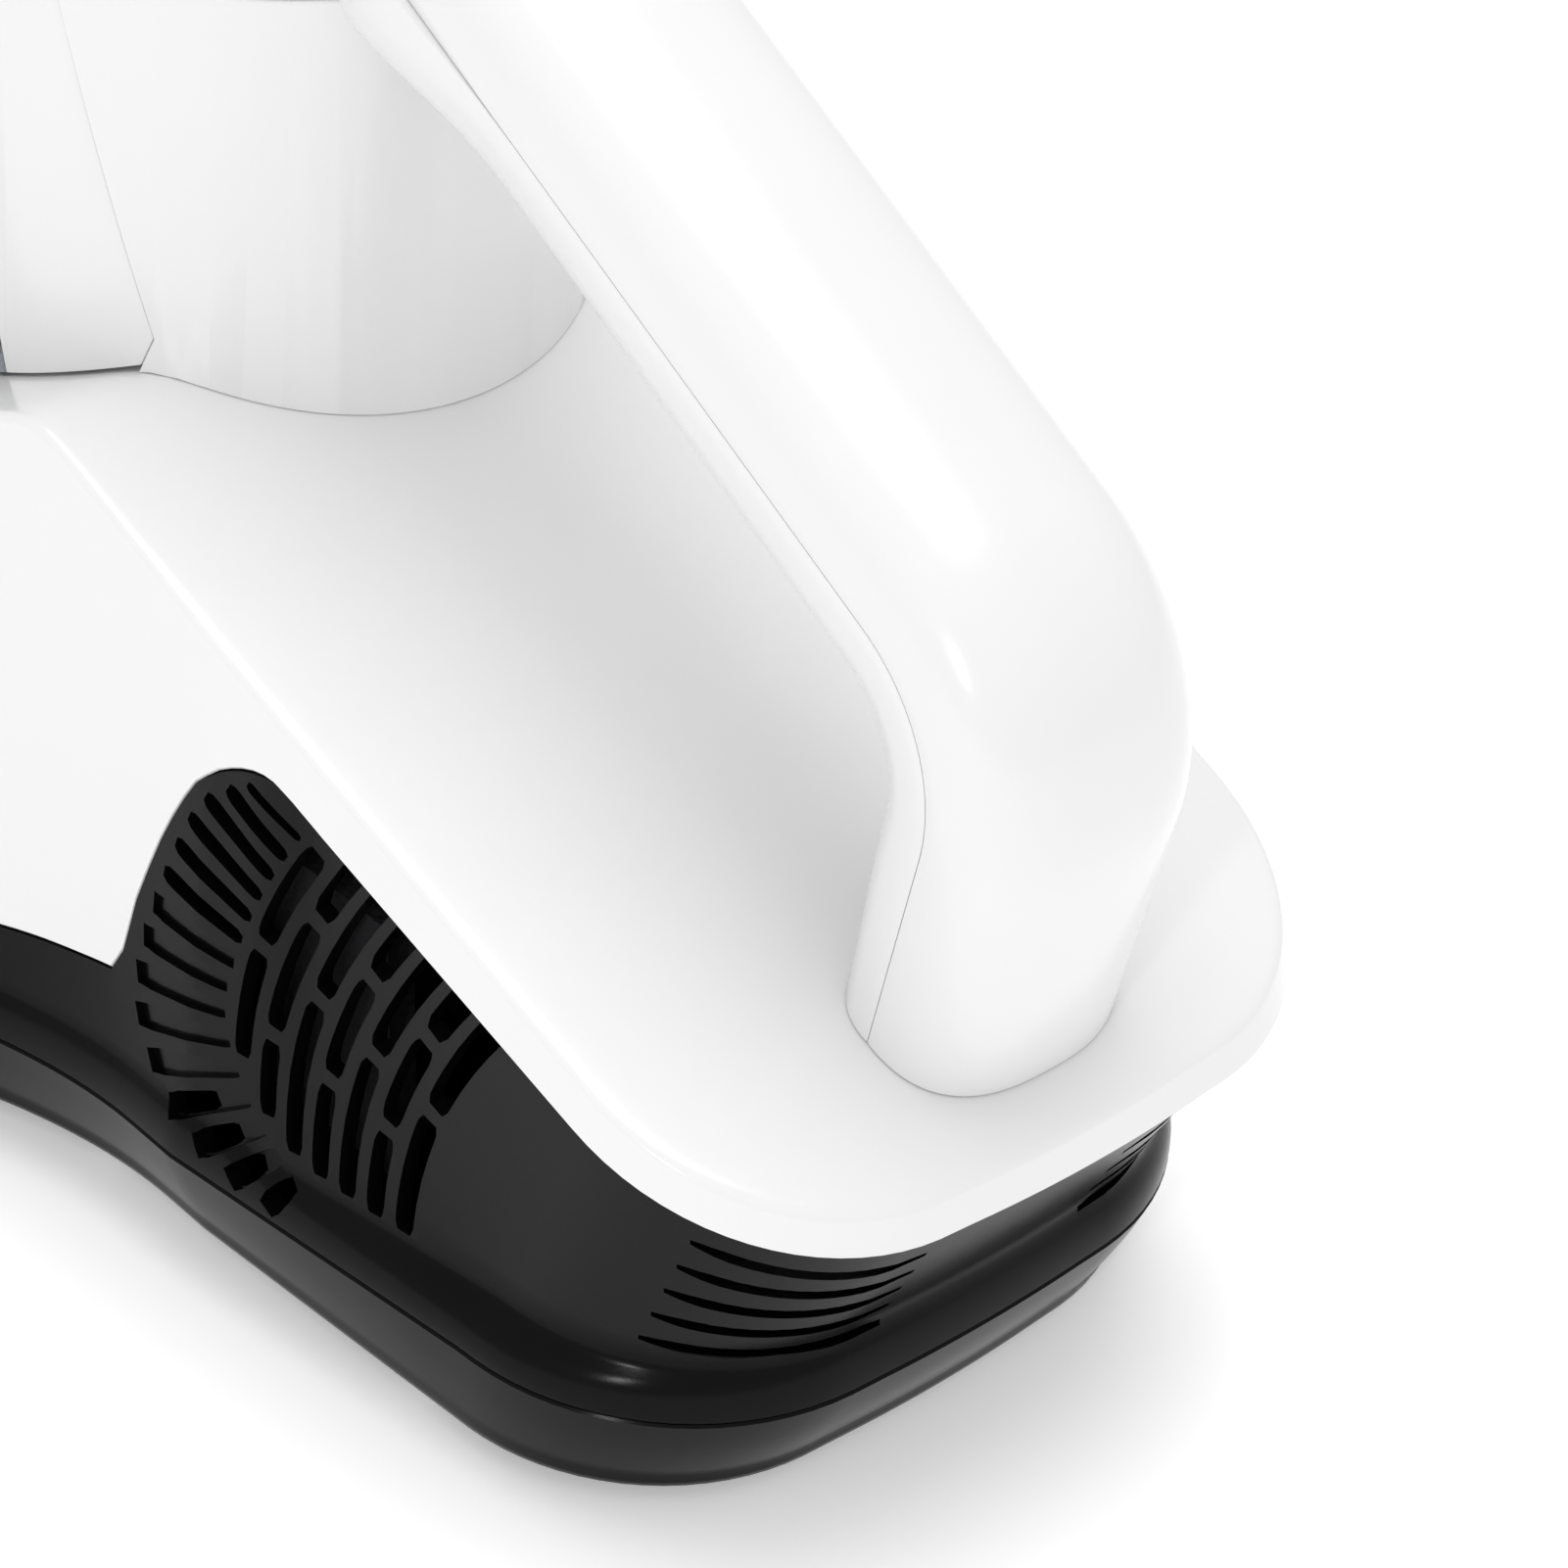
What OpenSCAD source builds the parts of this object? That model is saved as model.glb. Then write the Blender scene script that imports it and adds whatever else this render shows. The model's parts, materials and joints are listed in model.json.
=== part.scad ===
// Handheld mattress vacuum cleaner: wide brush head at the front, barrel with a pull-off dust cup
// on the deck, and a loop handle that runs from the barrel down to the narrow tail.
// Frame: origin under the middle of the body on the surface it stands on, head towards -Y,
// tail towards +Y, +Z up. Stations are distances forward of the tail; levels are heights above
// the base's lower edge.

/* [Body] */
// Length from the tail to the nose
body_len = 390; // [380:2:400]
// Half width of the lip at the tail
tail_hw = 54; // [52:0.5:56]
// Half width of the head
head_hw = 118; // [112:1:122]
// Wall thickness of the moulded shells
wall = 2.4; // [2:0.1:2.8]
// Height of the base's lower edge above the surface
ride = 4; // [3.5:0.1:5]
// Height of the parting line between the tray and the base
parting = 15; // [14:0.5:16]

/* [Barrel and cup] */
// Radius of the barrel
barrel_r = 43; // [41:0.5:44]
// Station of the barrel's axis
barrel_s = 161; // [158:1:164]
// Level of the seam between the barrel and the handle cap
cap_seam = 156; // [154:1:158]
// Level of the top of the handle cap
cap_top = 190; // [186:1:194]
// Lean of the joint face between the cup and the barrel, in degrees
cup_lean = 15.3; // [13:0.1:18]

/* [Handle] */
// Half width of the grip
grip_hw = 18.5; // [17:0.25:20]
// Half thickness of the grip
grip_ht = 13.5; // [12:0.25:15]
// Rise of the grip above the horizontal, in degrees
grip_rise = 27.5; // [26:0.25:29]
// Centre-line radius of the bend at the tail
grip_bend = 23.6; // [22:0.2:26]

/* [Brush] */
// Station of the brush roller's axis
brush_s = 352; // [350:1:354]
// Height of the brush roller's axis above the surface
brush_z = 19; // [18.5:0.1:20]
// Radius over the bristle tips
brush_r = 18; // [17:0.1:18.3]
// Radius of the brush roller's core
core_r = 12; // [11:0.5:13]
// Length of the brush roller's core
brush_len = 190; // [180:1:192]
// Radius of the steel pins that carry rollers and wheels
pin_r = 1.6; // [1.4:0.1:1.8]
// Radial running clearance of every turning fit
run_gap = 0.06; // [0.03:0.01:0.09]

/* [Hidden] */
$fn = 48;
white = "#f1f1f0";
black = "#2b2b2c";
grey = "#8a8c8f";
rubber = "#3a3a3c";
steel = "#c3c6c9";

tail_y = body_len / 2;
function row(x, s, h) = [x, tail_y - s, h + ride];
function mix(a, b, f) = a + (b - a) * f;
function clip(v, lo, hi) = min(max(v, lo), hi);
function ease(v) = let (u = clip(v, 0, 1)) u * u * (3 - 2 * u);
function soft_max(a, b, k) = k * ln(exp((a - 100) / k) + exp((b - 100) / k)) + 100;

// ---- Side profile: levels as functions of the station ----
deck_rise = 0.365;
deck_fall = 0.44;
crest_s = 137.4;
tail_deck = 54.2;
head_deck = 52;
function roof(s) = -soft_max(-(tail_deck + deck_rise * s), -deck_line(s), 1.5);
function deck(s) = s < 150 ? roof(s) : soft_max(roof(s), head_deck - 0.04 * (s - 270), 6);
// Level of the straight slope in front of the deck's crest
function deck_line(s) = tail_deck + deck_rise * crest_s - deck_fall * (s - crest_s);
edge_line = [[0, 48.9], [80, 75.6], [84, 76.6], [88, 77.3], [91, 77.2], [94.9, 75.8],
    [98.3, 73.6], [101.8, 70.3], [105, 65], [108.5, 57.2], [111.8, 47.9], [113, 43],
    [114, 38], [115.4, 34.2], [122, 33.1], [128.5, 32.2], [135, 31.2], [142, 30], [160, 28],
    [200, 26.5], [400, 26]];
function edge(s) = lookup(s, edge_line);
function crease(s) = deck(s) - mix(0.6, 6, ease((s - 130) / 120));

// ---- Plan outlines: [tail half width, taper, corner radius, bulge, tail inset, head half
// width, nose inset, head corner radius, flare start] ----
stations = [60, 66, 72, 78, 82, 86, 90, 94, 98, 102, 105, 108.5, 111.8, 114, 115.4, 118, 122, 128,
    134, 140, 148, 157, 168, 180, 194, 210, 228, 248, 270, 295, 320];
flare_end = 262;
taper_end = 100;
arc_n = 8;
function half_width(s, p) =
    let (b = p[0] + p[1] * (min(s, taper_end) - p[4] - p[2]))
    b + (p[5] - b) * ease((s - p[8]) / (flare_end - p[8]));
function half_outline(p) =
    let (cx = p[0] - p[2],
        cs = p[4] + p[2] + p[3] * pow(cx / p[0], 2),
        hx = p[5] - p[7],
        hs = body_len - p[6] - p[7] - 3,
        turn = atan(2 * p[3] * cx / pow(p[0], 2)))
    concat(
        [for (j = [0:3]) let (x = cx * j / 4) [x, p[4] + p[3] * pow(x / p[0], 2)]],
        [for (j = [0:arc_n - 1]) let (a = mix(turn - 90, 0, j / arc_n))
            [cx + p[2] * cos(a), cs + p[2] * sin(a)]],
        [for (j = [0:2]) let (s = mix(cs, 60, j / 3)) [half_width(s, p), s]],
        [for (s = stations) [half_width(s, p), s]],
        [for (j = [1:arc_n]) let (a = 90 * j / arc_n)
            [hx + p[7] * cos(a), hs + p[7] * sin(a)]],
        [for (j = [3:-1:0]) let (x = hx * j / 4)
            [x, hs + p[7] + 3 * (1 - pow(x / hx, 2))]]);
function full(h) = concat(h, [for (i = [len(h) - 2:-1:1]) [-h[i][0], h[i][1]]]);
function outline(p) = full(half_outline(p));
function inset(p, d, dh) = [p[0] - d, p[1], p[2] - d, p[3], p[4] + d, p[5] - dh, p[6] + dh,
    p[7] - dh * 0.8, p[8]];
lip_p = [tail_hw, 0.027, 32, 5.3, 0, head_hw + 1, 0, 42, 112];
crease_p = [tail_hw - 1.1, 0.027, 30.9, 5.3, 1.1, head_hw - 12, 11, 36, 130];
shoulder_p = [tail_hw - 3.4, 0.16, 31, 5.5, 15, head_hw + 0.5, 0, 42, 108];
parting_p = [tail_hw + 1.2, 0.12, 35.6, 5.5, 13.3, head_hw + 2, 0, 42, 108];
lower_p = [tail_hw - 1, 0.07, 32.9, 5.5, 19.2, head_hw, 0, 42, 108];
shoulder_z = 22;
lip_tuck = 2.6;

function level(o, h) = [for (q = o) row(q[0], q[1], h)];
function draped(o, drop) = [for (q = o) row(q[0], q[1], deck(q[1]) - drop)];
// Shrinks an outline towards the body's middle line
function toward_spine(o, f) = [for (q = o) let (m = clip(q[1], 45, body_len - 45))
    [q[0] * f, m + (q[1] - m) * f]];
// Rim of the cover and of the base on the flank between the shoulder and the crease
function flank(d, gap, tuck) =
    let (t = outline(inset(crease_p, d, d)), b = outline(inset(shoulder_p, d, d)),
        l = outline(inset(lip_p, d + tuck, d)))
    [for (i = [0:len(t) - 1])
        let (s = t[i][1],
            h = edge(s) + gap,
            f = clip((crease(s) - h) / (crease(s) - shoulder_z), 0, 1),
            w = ease((s - 78) / 14),
            x = mix(l[i][0], mix(t[i][0], b[i][0], f), w),
            y = mix(l[i][1], mix(t[i][1], b[i][1], f), w))
        row(x, y, h + max(1 - 8 * w, 0) * tuck * 0.3)];

// ---- Closed solids from rings of points ----
// fold is the sum of the indices of two ring points that face each other across an end
module skin(rings, fold, wrap = false) {
    m = len(rings[0]);
    n = len(rings);
    last = wrap ? n - 1 : n - 2;
    first_pair = fold % m == 0 ? 1 : 0;
    pairs = fold % m == 0 ? floor(m / 2) - 1 : floor(m / 2) - 2;
    sides = [for (k = [0:last], i = [0:m - 1])
        let (a = k * m + i, b = k * m + (i + 1) % m, c = ((k + 1) % n) * m + (i + 1) % m,
            d = ((k + 1) % n) * m + i)
        each [[a, b, c], [a, c, d]]];
    ends = wrap ? [] : [for (e = [0, 1], i = [first_pair:pairs])
        let (o = e * (n - 1) * m, a = o + i, b = o + i + 1,
            c = o + (fold - i - 1 + m) % m, d = o + (fold - i + m) % m)
        each (i + 1 == (fold - i - 1 + m) % m
            ? [e == 0 ? [d, b, a] : [a, b, d]]
            : e == 0 ? [[d, c, b], [d, b, a]] : [[a, b, c], [a, c, d]])];
    tips = (wrap || fold % m != 0) ? [] : [for (e = [0, 1])
        let (o = e * (n - 1) * m)
        e == 0 ? [o, o + m - 1, o + 1] : [o, o + 1, o + m - 1]];
    polyhedron([for (r = rings) each r], concat(sides, ends, tips), convexity = 8);
}

// ---- Placement helpers ----
module at(s, h, x = 0) translate([x, tail_y - s, h + ride]) children();
// Axis along Y, pointing to the tail
module along_y() rotate([-90, 0, 0]) children();
module along_x() rotate([0, 90, 0]) children();
// Extrudes a side view drawn in [station, level] across the body
module side_view(pts, hw) translate([-hw, tail_y, ride]) rotate([90, 0, 90])
    linear_extrude(2 * hw) polygon([for (q = pts) [-q[0], q[1]]]);
module ring(ro, ri, h) difference() {
    cylinder(h = h, r = ro);
    translate([0, 0, -1]) cylinder(h = h + 2, r = ri);
}
module pairwise() for (m = [0, 1]) mirror([m, 0, 0]) children();

// ---- Joint face between the cup and the barrel ----
face_s = 139.5;
face_z = 115;
function face_at(h) = face_s + (h - face_z) * tan(cup_lean);
// Local frame on the joint face: +Z out of the barrel towards the nose
module on_face(h, out = 0, x = 0) translate([x, tail_y - face_at(h), h + ride])
    rotate([90 + cup_lean, 0, 0]) translate([0, 0, out]) children();
module behind_face(gap) side_view([[face_at(60) - gap, 60], [face_at(220) - gap, 220],
    [60, 220], [60, 60]], 60);
module ahead_of_face(gap) side_view([[face_at(60) + gap, 60], [face_at(220) + gap, 220],
    [260, 220], [260, 60]], 60);

// ---- Shells of the body ----
module top_cover() color(white) difference() {
    skin([
        draped(toward_spine(outline(inset(crease_p, 4, 12)), 0.5), wall),
        draped(outline(inset(crease_p, 4, 12)), wall),
        draped(outline(inset(crease_p, wall, wall + 3)), wall + 1.5),
        flank(wall, 0, 0),
        flank(0, 0, 0),
        [for (q = outline(crease_p)) row(q[0], q[1], crease(q[1]))],
        [for (q = outline(inset(crease_p, 1.2, 4))) row(q[0], q[1],
            deck(q[1]) - mix(0.15, 1.8, ease((q[1] - 130) / 120)))],
        draped(outline(inset(crease_p, 4, 12)), 0),
        draped(toward_spine(outline(inset(crease_p, 4, 12)), 0.5), 0)], 0);
    intersection() {
        at(air_hole_s, 99) cube([60, 11, 30], center = true);
        at(barrel_s, 80) cylinder(h = 40, r = barrel_r - 5);
    }
    inlet_axis() cylinder(h = 12, r = seal_r + 0.2, center = true);
    for (x = [-9, 9]) at(22.5, 58, x) cylinder(h = 30, r = 1.7, center = true);
}

module base_housing() color(black) difference() {
    union() {
        skin([
            level(outline(parting_p), parting + 0.15),
            level(outline(parting_p), parting + 1.5),
            level(outline(shoulder_p), shoulder_z),
            flank(0.15, -0.3, lip_tuck),
            flank(wall, -0.3, lip_tuck),
            level(outline(inset(shoulder_p, wall, wall)), shoulder_z),
            level(outline(inset(parting_p, wall, wall)), parting + 0.15)], 0, true);
        pairwise() for (q = screw_spots)
            at(q[1], parting + 0.15, q[0]) cylinder(h = 10.5, r = q[2]);
        at(jack_s, jack_z, -tail_hw - 0.5) along_x() cylinder(h = 6, r = 7.5);
    }
    pairwise() for (q = screw_spots) at(q[1], parting - 1, q[0]) cylinder(h = 11, r = 1.4);
    pairwise() side_slots();
    pairwise() corner_slots();
    at(jack_s, jack_z, -tail_hw - 10) along_x() cylinder(h = 30, r = 5.6);
}
// Slots of the side vent, fanned out over the leaf-shaped panel
module side_slots() for (j = [0:5])
    at(78 + 5.6 * j, 46, tail_hw + 1) rotate([-10 - 3 * j, 0, 0])
        cube([16, 2.4, 30 - 2 * j], center = true);
// Level louvres round each rear corner
module corner_slots() for (j = [0:4])
    at(24, 27.4 + 4.4 * j, tail_hw - 13.5) rotate([0, 0, 45])
        cube([26, 14, 1.9], center = true);

air_hole_s = 128.5;
// Screws: [across, station, radius of the boss]
screw_spots = [[47.6, 62, 4], [51.8, 123, 6.6], [111, 250, 4], [112.6, 310, 4]];
jack_s = 66;
jack_z = 44;
uv_s = 272;
wheel_r = 9;
wheel_w = 8;
rear_wheel = [40, 50];
front_wheel = [84, 319];
wheel_axis_z = wheel_r - ride;
plunger_s = 226;
floor_z = 1.4;

module bottom_plate() color(black) difference() {
    union() {
        skin([
            level(toward_spine(outline(inset(lower_p, 3, 3)), 0.5), -1.2),
            level(outline(inset(lower_p, 2.4, 2.4)), -1.2),
            level(outline(inset(lower_p, 0.5, 0.5)), 0),
            level(outline(lower_p), 1.8),
            level(outline(parting_p), parting - 0.15),
            level(outline(inset(parting_p, wall, wall)), parting - 0.15),
            level(outline(inset(lower_p, wall, wall)), floor_z),
            level(toward_spine(outline(inset(lower_p, wall + 1, wall + 1)), 0.5), floor_z)], 0);
        pairwise() for (q = [rear_wheel, front_wheel], e = [-1, 1])
            at(q[1], floor_z + 3, q[0] + e * (wheel_w / 2 + 2.4)) cube([3, 8, 7], center = true);
    }
    at(brush_s, 0) cube([brush_len + 6, 2 * brush_r + 4, 20], center = true);
    at(uv_s, 0) cube([124, 18, 20], center = true);
    pairwise() for (q = [rear_wheel, front_wheel]) at(q[1], 0, q[0])
        cube([wheel_w + 1.6, 2 * wheel_r + 1.6, 20], center = true);
    pairwise() for (q = screw_spots) at(q[1], 0, q[0]) {
        cylinder(h = 10, r = 1.7, center = true);
        translate([0, 0, -2]) cylinder(h = 2.2, r = 3.2);
    }
    at(plunger_s, 0) cylinder(h = 10, r = 4.3, center = true);
    pairwise() for (q = [rear_wheel, front_wheel])
        at(q[1], wheel_axis_z, q[0] - 10) along_x() cylinder(h = 20, r = pin_r + 0.03);
}

module exhaust_filters() color("#4b4d50") pairwise()
    at(94, 42, 46) rotate([0, 3, 0]) cube([4, 42, 40], center = true);

// ---- Loop handle ----
lean = 9.85;
foot = [22.9, 57];
leg_len = 35.6;
turn_from = 90 + lean;
leg_end = foot + leg_len * [cos(turn_from), sin(turn_from)];
bend_mid = leg_end + grip_bend * [sin(turn_from), -cos(turn_from)];
bend_end = bend_mid + grip_bend * [-sin(grip_rise), cos(grip_rise)];
grip_len = 118;
// Stations along the handle: [station, level, heading, closeness to the foot]
handle_path = concat(
    [for (j = [0:5]) let (q = foot + (leg_end - foot) * j / 6)
        [q[0], q[1], turn_from, 1 - j / 12]],
    [for (j = [0:11]) let (a = mix(turn_from, grip_rise, j / 12),
        q = bend_mid + grip_bend * [-sin(a), cos(a)]) [q[0], q[1], a, 0.5 - j / 24]],
    [for (j = [0:9]) let (q = bend_end + grip_len * j / 9 * [cos(grip_rise), sin(grip_rise)])
        [q[0], q[1], grip_rise, 0]]);
roundness = 2.62;
function power_of(v, e) = sign(v) * pow(abs(v), e);
function section_point(q, a, d) =
    let (hw = grip_hw - 0.5 * q[3] * q[3] - d,
        ht = grip_ht - (sin(a) < 0 ? 3.9 * q[3] * q[3] : 0) - d,
        u = hw * power_of(cos(a), 2 / roundness), v = ht * power_of(sin(a), 2 / roundness))
    [u, v];
// One point of the handle: across, then outwards from the centre line
function handle_point(q, u, v) = row(u, q[0] - v * sin(q[2]), q[1] + v * cos(q[2]));
function handle_half(dir) = [for (q = handle_path)
    concat(
        [for (j = [0:12]) let (p = section_point(q, dir > 0 ? 180 - 15 * j : -15 * j, 0))
            handle_point(q, p[0], abs(p[1]) < 0.01 ? dir * 0.08 : p[1])],
        [for (j = [12:-1:0]) let (p = section_point(q, dir > 0 ? 180 - 15 * j : -15 * j, wall))
            handle_point(q, p[0], abs(p[1]) < 0.01 ? dir * 0.08 : p[1])])];
module handle_upper() color(white) difference() {
    skin(handle_half(1), 25);
    below_deck(0.25);
}
module handle_lower() color(white) difference() {
    skin(handle_half(-1), 25);
    below_deck(0.25);
}
// Everything under the deck line, raised by a gap
module below_deck(gap) side_view(concat([[-20, 20], [-20, deck(0) + gap]],
    [for (s = [0:10:120]) [s, deck(s) + gap]], [for (s = [126:4:260]) [s, deck(s) + gap]],
    [[260, 20]]), 90);

// ---- Barrel, cap and cup: turned shapes cut by planes ----
module barrel_blank(r, lo, hi, round_lo, round_hi) at(barrel_s, 0) rotate_extrude($fn = 96)
    barrel_profile(r, lo, hi, round_lo, round_hi);
module barrel_profile(r, lo, hi, q, t) polygon(concat(
    [[0, lo]],
    [for (a = [-90:15:0]) [r - q + q * cos(a), lo + q + q * sin(a)]],
    [for (a = [0:9:90]) [r - t + t * cos(a), hi - t + t * sin(a)]],
    [[0, hi]]));

module barrel_housing() color(white) difference() {
    intersection() {
        barrel_blank(barrel_r, 80, cap_seam - 0.15, 0.01, 0.01);
        behind_face(0.15);
    }
    below_deck(0.2);
    intersection() {
        barrel_blank(barrel_r - wall, 70, cap_seam + 5, 0.01, 0.01);
        behind_face(wall + 0.15);
    }
    on_face(filter_z, -10) cylinder(h = 20, r = port_r);
    handle_bore();
}
filter_z = 134;
port_r = 17;

module outlet_seal() color(rubber) on_face(filter_z, -2.5) difference() {
    cylinder(h = 2.35, r = port_r - 0.05);
    translate([0, 0, -1]) cylinder(h = 5, r = port_r - 2.5);
}

module handle_cap() color(white) difference() {
    intersection() {
        barrel_blank(barrel_r, cap_seam + 0.15, cap_top, 1.5, 14);
        behind_face(0.15);
    }
    intersection() {
        barrel_blank(barrel_r - wall, cap_seam - 5, cap_top - wall, 0.01, 12);
        behind_face(wall + 0.15);
    }
    handle_bore();
    for (x = [-button_x, button_x]) at(button_s, cap_top - 10, x)
        cylinder(h = 20, r = button_r + 0.3);
    tongue_slot();
    at(display_s, cap_top) cube([16.4, 8.4, 3], center = true);
}
// Stretch of the handle that passes through the cap's wall
cap_bore = [for (d = [70, 90, 110, grip_len + 2])
    let (q = bend_end + d * [cos(grip_rise), sin(grip_rise)]) [q[0], q[1], grip_rise, 0]];
module handle_bore() skin([for (q = cap_bore) [for (a = [0:15:345])
    let (p = section_point(q, -a, -0.2)) handle_point(q, p[0], p[1])]], 23);
button_s = 141;
button_x = 9;
button_r = 5;
display_s = 153;
release_z = 178;

module display_window() color("#15161a") at(display_s, cap_top - 0.75)
    cube([16, 8, 1.5], center = true);

cup_top = cap_top - 4;
cup_gap = 1.6;
cup_split = 26;
// Outer or inner body of the cup; d is how far in from the outside
module cup_blank(d) intersection() {
    barrel_blank(barrel_r - 0.3 - d, 60, cup_top - d, 0.01, 12 - d * 0.6);
    ahead_of_face(0.25 + d);
    side_view([[100, deck_line(100) + cup_gap + d], [100, 230], [260, 230],
        [260, deck_line(260) + cup_gap + d]], 80);
}

module cup_collar() color(white) difference() {
    intersection() {
        cup_blank(0);
        behind_face(-cup_split);
    }
    intersection() {
        cup_blank(wall);
        behind_face(-cup_split - 10);
    }
    on_face(filter_z, -1) cylinder(h = 10, r = port_r);
    tongue_slot();
    at(release_s, cup_top - 10) pill(7, 4.3, 20);
}

module cup_bowl() color("#5b5f66", 0.45) difference() {
    intersection() {
        cup_blank(0);
        ahead_of_face(cup_split + 0.1);
    }
    intersection() {
        cup_blank(wall);
        ahead_of_face(cup_split - 10);
    }
    inlet_axis() cylinder(h = 14, r = 13, center = true);
}
// Local frame on the deck where dirty air enters the cup: +Z out of the deck
inlet_s = 172;
seal_r = 15;
module inlet_axis() at(inlet_s, deck_line(inlet_s)) rotate([deck_tilt, 0, 0]) children();

module cup_inlet_tube() color("#5b5f66", 0.6) inlet_axis() translate([0, 0, cup_gap + 0.1])
    ring(12.95, 11, 16);

module filter_frame() color(grey) on_face(filter_z, 0.5) {
    ring(port_r - 0.3, port_r - 2.3, 4);
    translate([0, 0, 3]) ring(26, port_r - 2.3, 2);
    translate([0, 0, 24]) cylinder(h = 2, r = 26);
    for (a = [0:90:270]) rotate(a) translate([16.4, 0, 4]) cylinder(h = 21, r = 1);
}
module filter_pleats() color("#f4f3ee") on_face(filter_z, 5.6) linear_extrude(18.3)
    difference() {
        polygon([for (i = [0:71]) let (a = 5 * i, r = i % 2 == 0 ? 24.5 : 20)
            [r * cos(a), r * sin(a)]]);
        polygon([for (i = [0:71]) let (a = 5 * i, r = i % 2 == 0 ? 22.5 : 18)
            [r * cos(a), r * sin(a)]]);
    }
module filter_mesh() color(steel) on_face(filter_z, 5.6) ring(25.9, 25.2, 18.3);

module latch_plate() color(steel) on_face(release_z, -wall - 1.6) difference() {
    cube([14, 10, 1.2], center = true);
    translate([0, -1, 0]) cube([tongue_w + 1, 5.4, 4], center = true);
}
tongue_w = 4;
module tongue_slot() on_face(release_z, 0) translate([0, -1, 0])
    cube([tongue_w + 1, 5.4, 12], center = true);
module latch_tongue() color(steel) on_face(release_z, 2.5) cube([tongue_w, 1.2, 14], center = true);
// Upright block with round ends, centred on its base
module pill(half, r, h) {
    for (x = [-half, half]) translate([x, 0, 0]) cylinder(h = h, r = r);
    translate([-half, -r, 0]) cube([2 * half, 2 * r, h]);
}

// ---- Buttons: caps with a collar under the skin ----
module round_button(x) at(button_s, cap_top - wall, x) {
    translate([0, 0, -2]) cylinder(h = wall + 3.2, r = button_r);
    translate([0, 0, -2.4]) cylinder(h = 2.2, r = button_r + 1.5);
}
module power_button() color(grey) round_button(-button_x);
module mode_button() color(grey) round_button(button_x);
// Button on the cup's top that frees the catch
release_s = 170.5;
module release_button() color(grey) at(release_s, cup_top - wall) {
    translate([0, 0, -2]) pill(7, 4, wall + 3.2);
    translate([0, 0, -2.4]) pill(7, 5, 2.2);
}

// ---- Air path and fan ----
fan_z = 40;
fan_front = 122;
// Local frame on the fan's axis: +Z forward
module on_fan(s) at(s, fan_z) along_y() mirror([0, 0, 1]) children();
fan_shaft_r = 2.5;
module fan_motor() color(steel) on_fan(66) ring(22, fan_shaft_r + run_gap, 36);
module motor_mounts() color(rubber) for (s = [68, 90]) on_fan(s) ring(27, 22.1, 8);
module fan_shroud() color(black) on_fan(102.4) difference() {
    cylinder(h = fan_front - 102.4, r = 32);
    translate([0, 0, 2]) cylinder(h = fan_front - 102.4 - 4, r = 30);
    translate([0, 0, -1]) cylinder(h = 40, r = 14);
}
module impeller() color(grey) {
    on_fan(67) cylinder(h = 40, r = fan_shaft_r);
    on_fan(106) cylinder(h = 2, r = 28);
    on_fan(106) cylinder(h = 9, r = 6);
    on_fan(107) linear_extrude(7) for (i = [0:8]) rotate(40 * i)
        translate([5, 0]) rotate(18) square([21, 1.4]);
}
module clean_air_duct() color(black) difference() {
    side_view([[fan_front + 0.3, fan_z - 20], [fan_front + 0.3, 92], [142, 98],
        [142, fan_z - 20]], 24.5);
    side_view([[fan_front + 2, fan_z - 18], [fan_front + 2, 110], [140, 110],
        [140, fan_z - 18]], 22.5);
    on_fan(fan_front - 4) cylinder(h = 12, r = 14);
}

duct_r = 13;
duct_drop = 2.7;
deck_tilt = atan(deck_fall);
duct_up = [sin(deck_tilt), cos(deck_tilt)];
duct_top = [inlet_s, deck_line(inlet_s)] - duct_drop * duct_up;
duct_knees = [[329, 21.5], [250, 34], duct_top - 24 * duct_up, duct_top];
function duct_way(i) = let (j = clip(i, 0, 2), d = duct_knees[j + 1] - duct_knees[j]) d / norm(d);
// Ring of the duct at knee i, in the mitre plane between the two runs that meet there
function duct_ring(i, r) =
    let (w = duct_way(i) + duct_way(i - 1), mid = w / norm(w), stretch = 1 / (mid * duct_way(i)))
    [for (a = [0:15:345]) row(r * cos(a),
        duct_knees[i][0] - mid[1] * stretch * r * sin(a),
        duct_knees[i][1] + mid[0] * stretch * r * sin(a))];
module suction_duct() color(black) skin(concat(
    [for (i = [0:3]) duct_ring(i, duct_r)],
    [for (i = [3:-1:0]) duct_ring(i, duct_r - 2)]), 0, true);
module inlet_seal() color(rubber) inlet_axis() translate([0, 0, -2.4])
    ring(seal_r, 11.5, 3.6);

// ---- Brush head ----
module brush_chamber() color(black) at(brush_s, brush_z - ride) along_x() difference() {
    translate([0, 0, -brush_len / 2 - 4]) cylinder(h = brush_len + 8, r = 22.5);
    translate([0, 0, -brush_len / 2 - 2]) cylinder(h = brush_len + 4, r = 20.5);
    translate([8, -50, -150]) cube([100, 100, 300]);
    translate([0, 0, -150]) cylinder(h = 300, r = 6);
    translate([-6.5, 10, 0]) rotate([-90, 0, 0]) cylinder(h = 20, r = 12);
}
module on_brush(x) at(brush_s, brush_z - ride, x) along_x() children();
module brush_core() color(black) {
    on_brush(-brush_len / 2) cylinder(h = brush_len, r = core_r);
    pairwise() on_brush(brush_len / 2) cylinder(h = 12, r = 3);
}
module brush_bristles() color("#3c4046") on_brush(-brush_len / 2 + 2)
    for (i = [0:3]) rotate(90 * i) translate([core_r - 0.3, -1.2, 0])
        cube([brush_r - core_r + 0.3, 2.4, brush_len - 4]);
module brush_bushes() color("#b08d57") pairwise() on_brush(brush_len / 2 + 2.3)
    ring(6, 3 + run_gap, 4);
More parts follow.
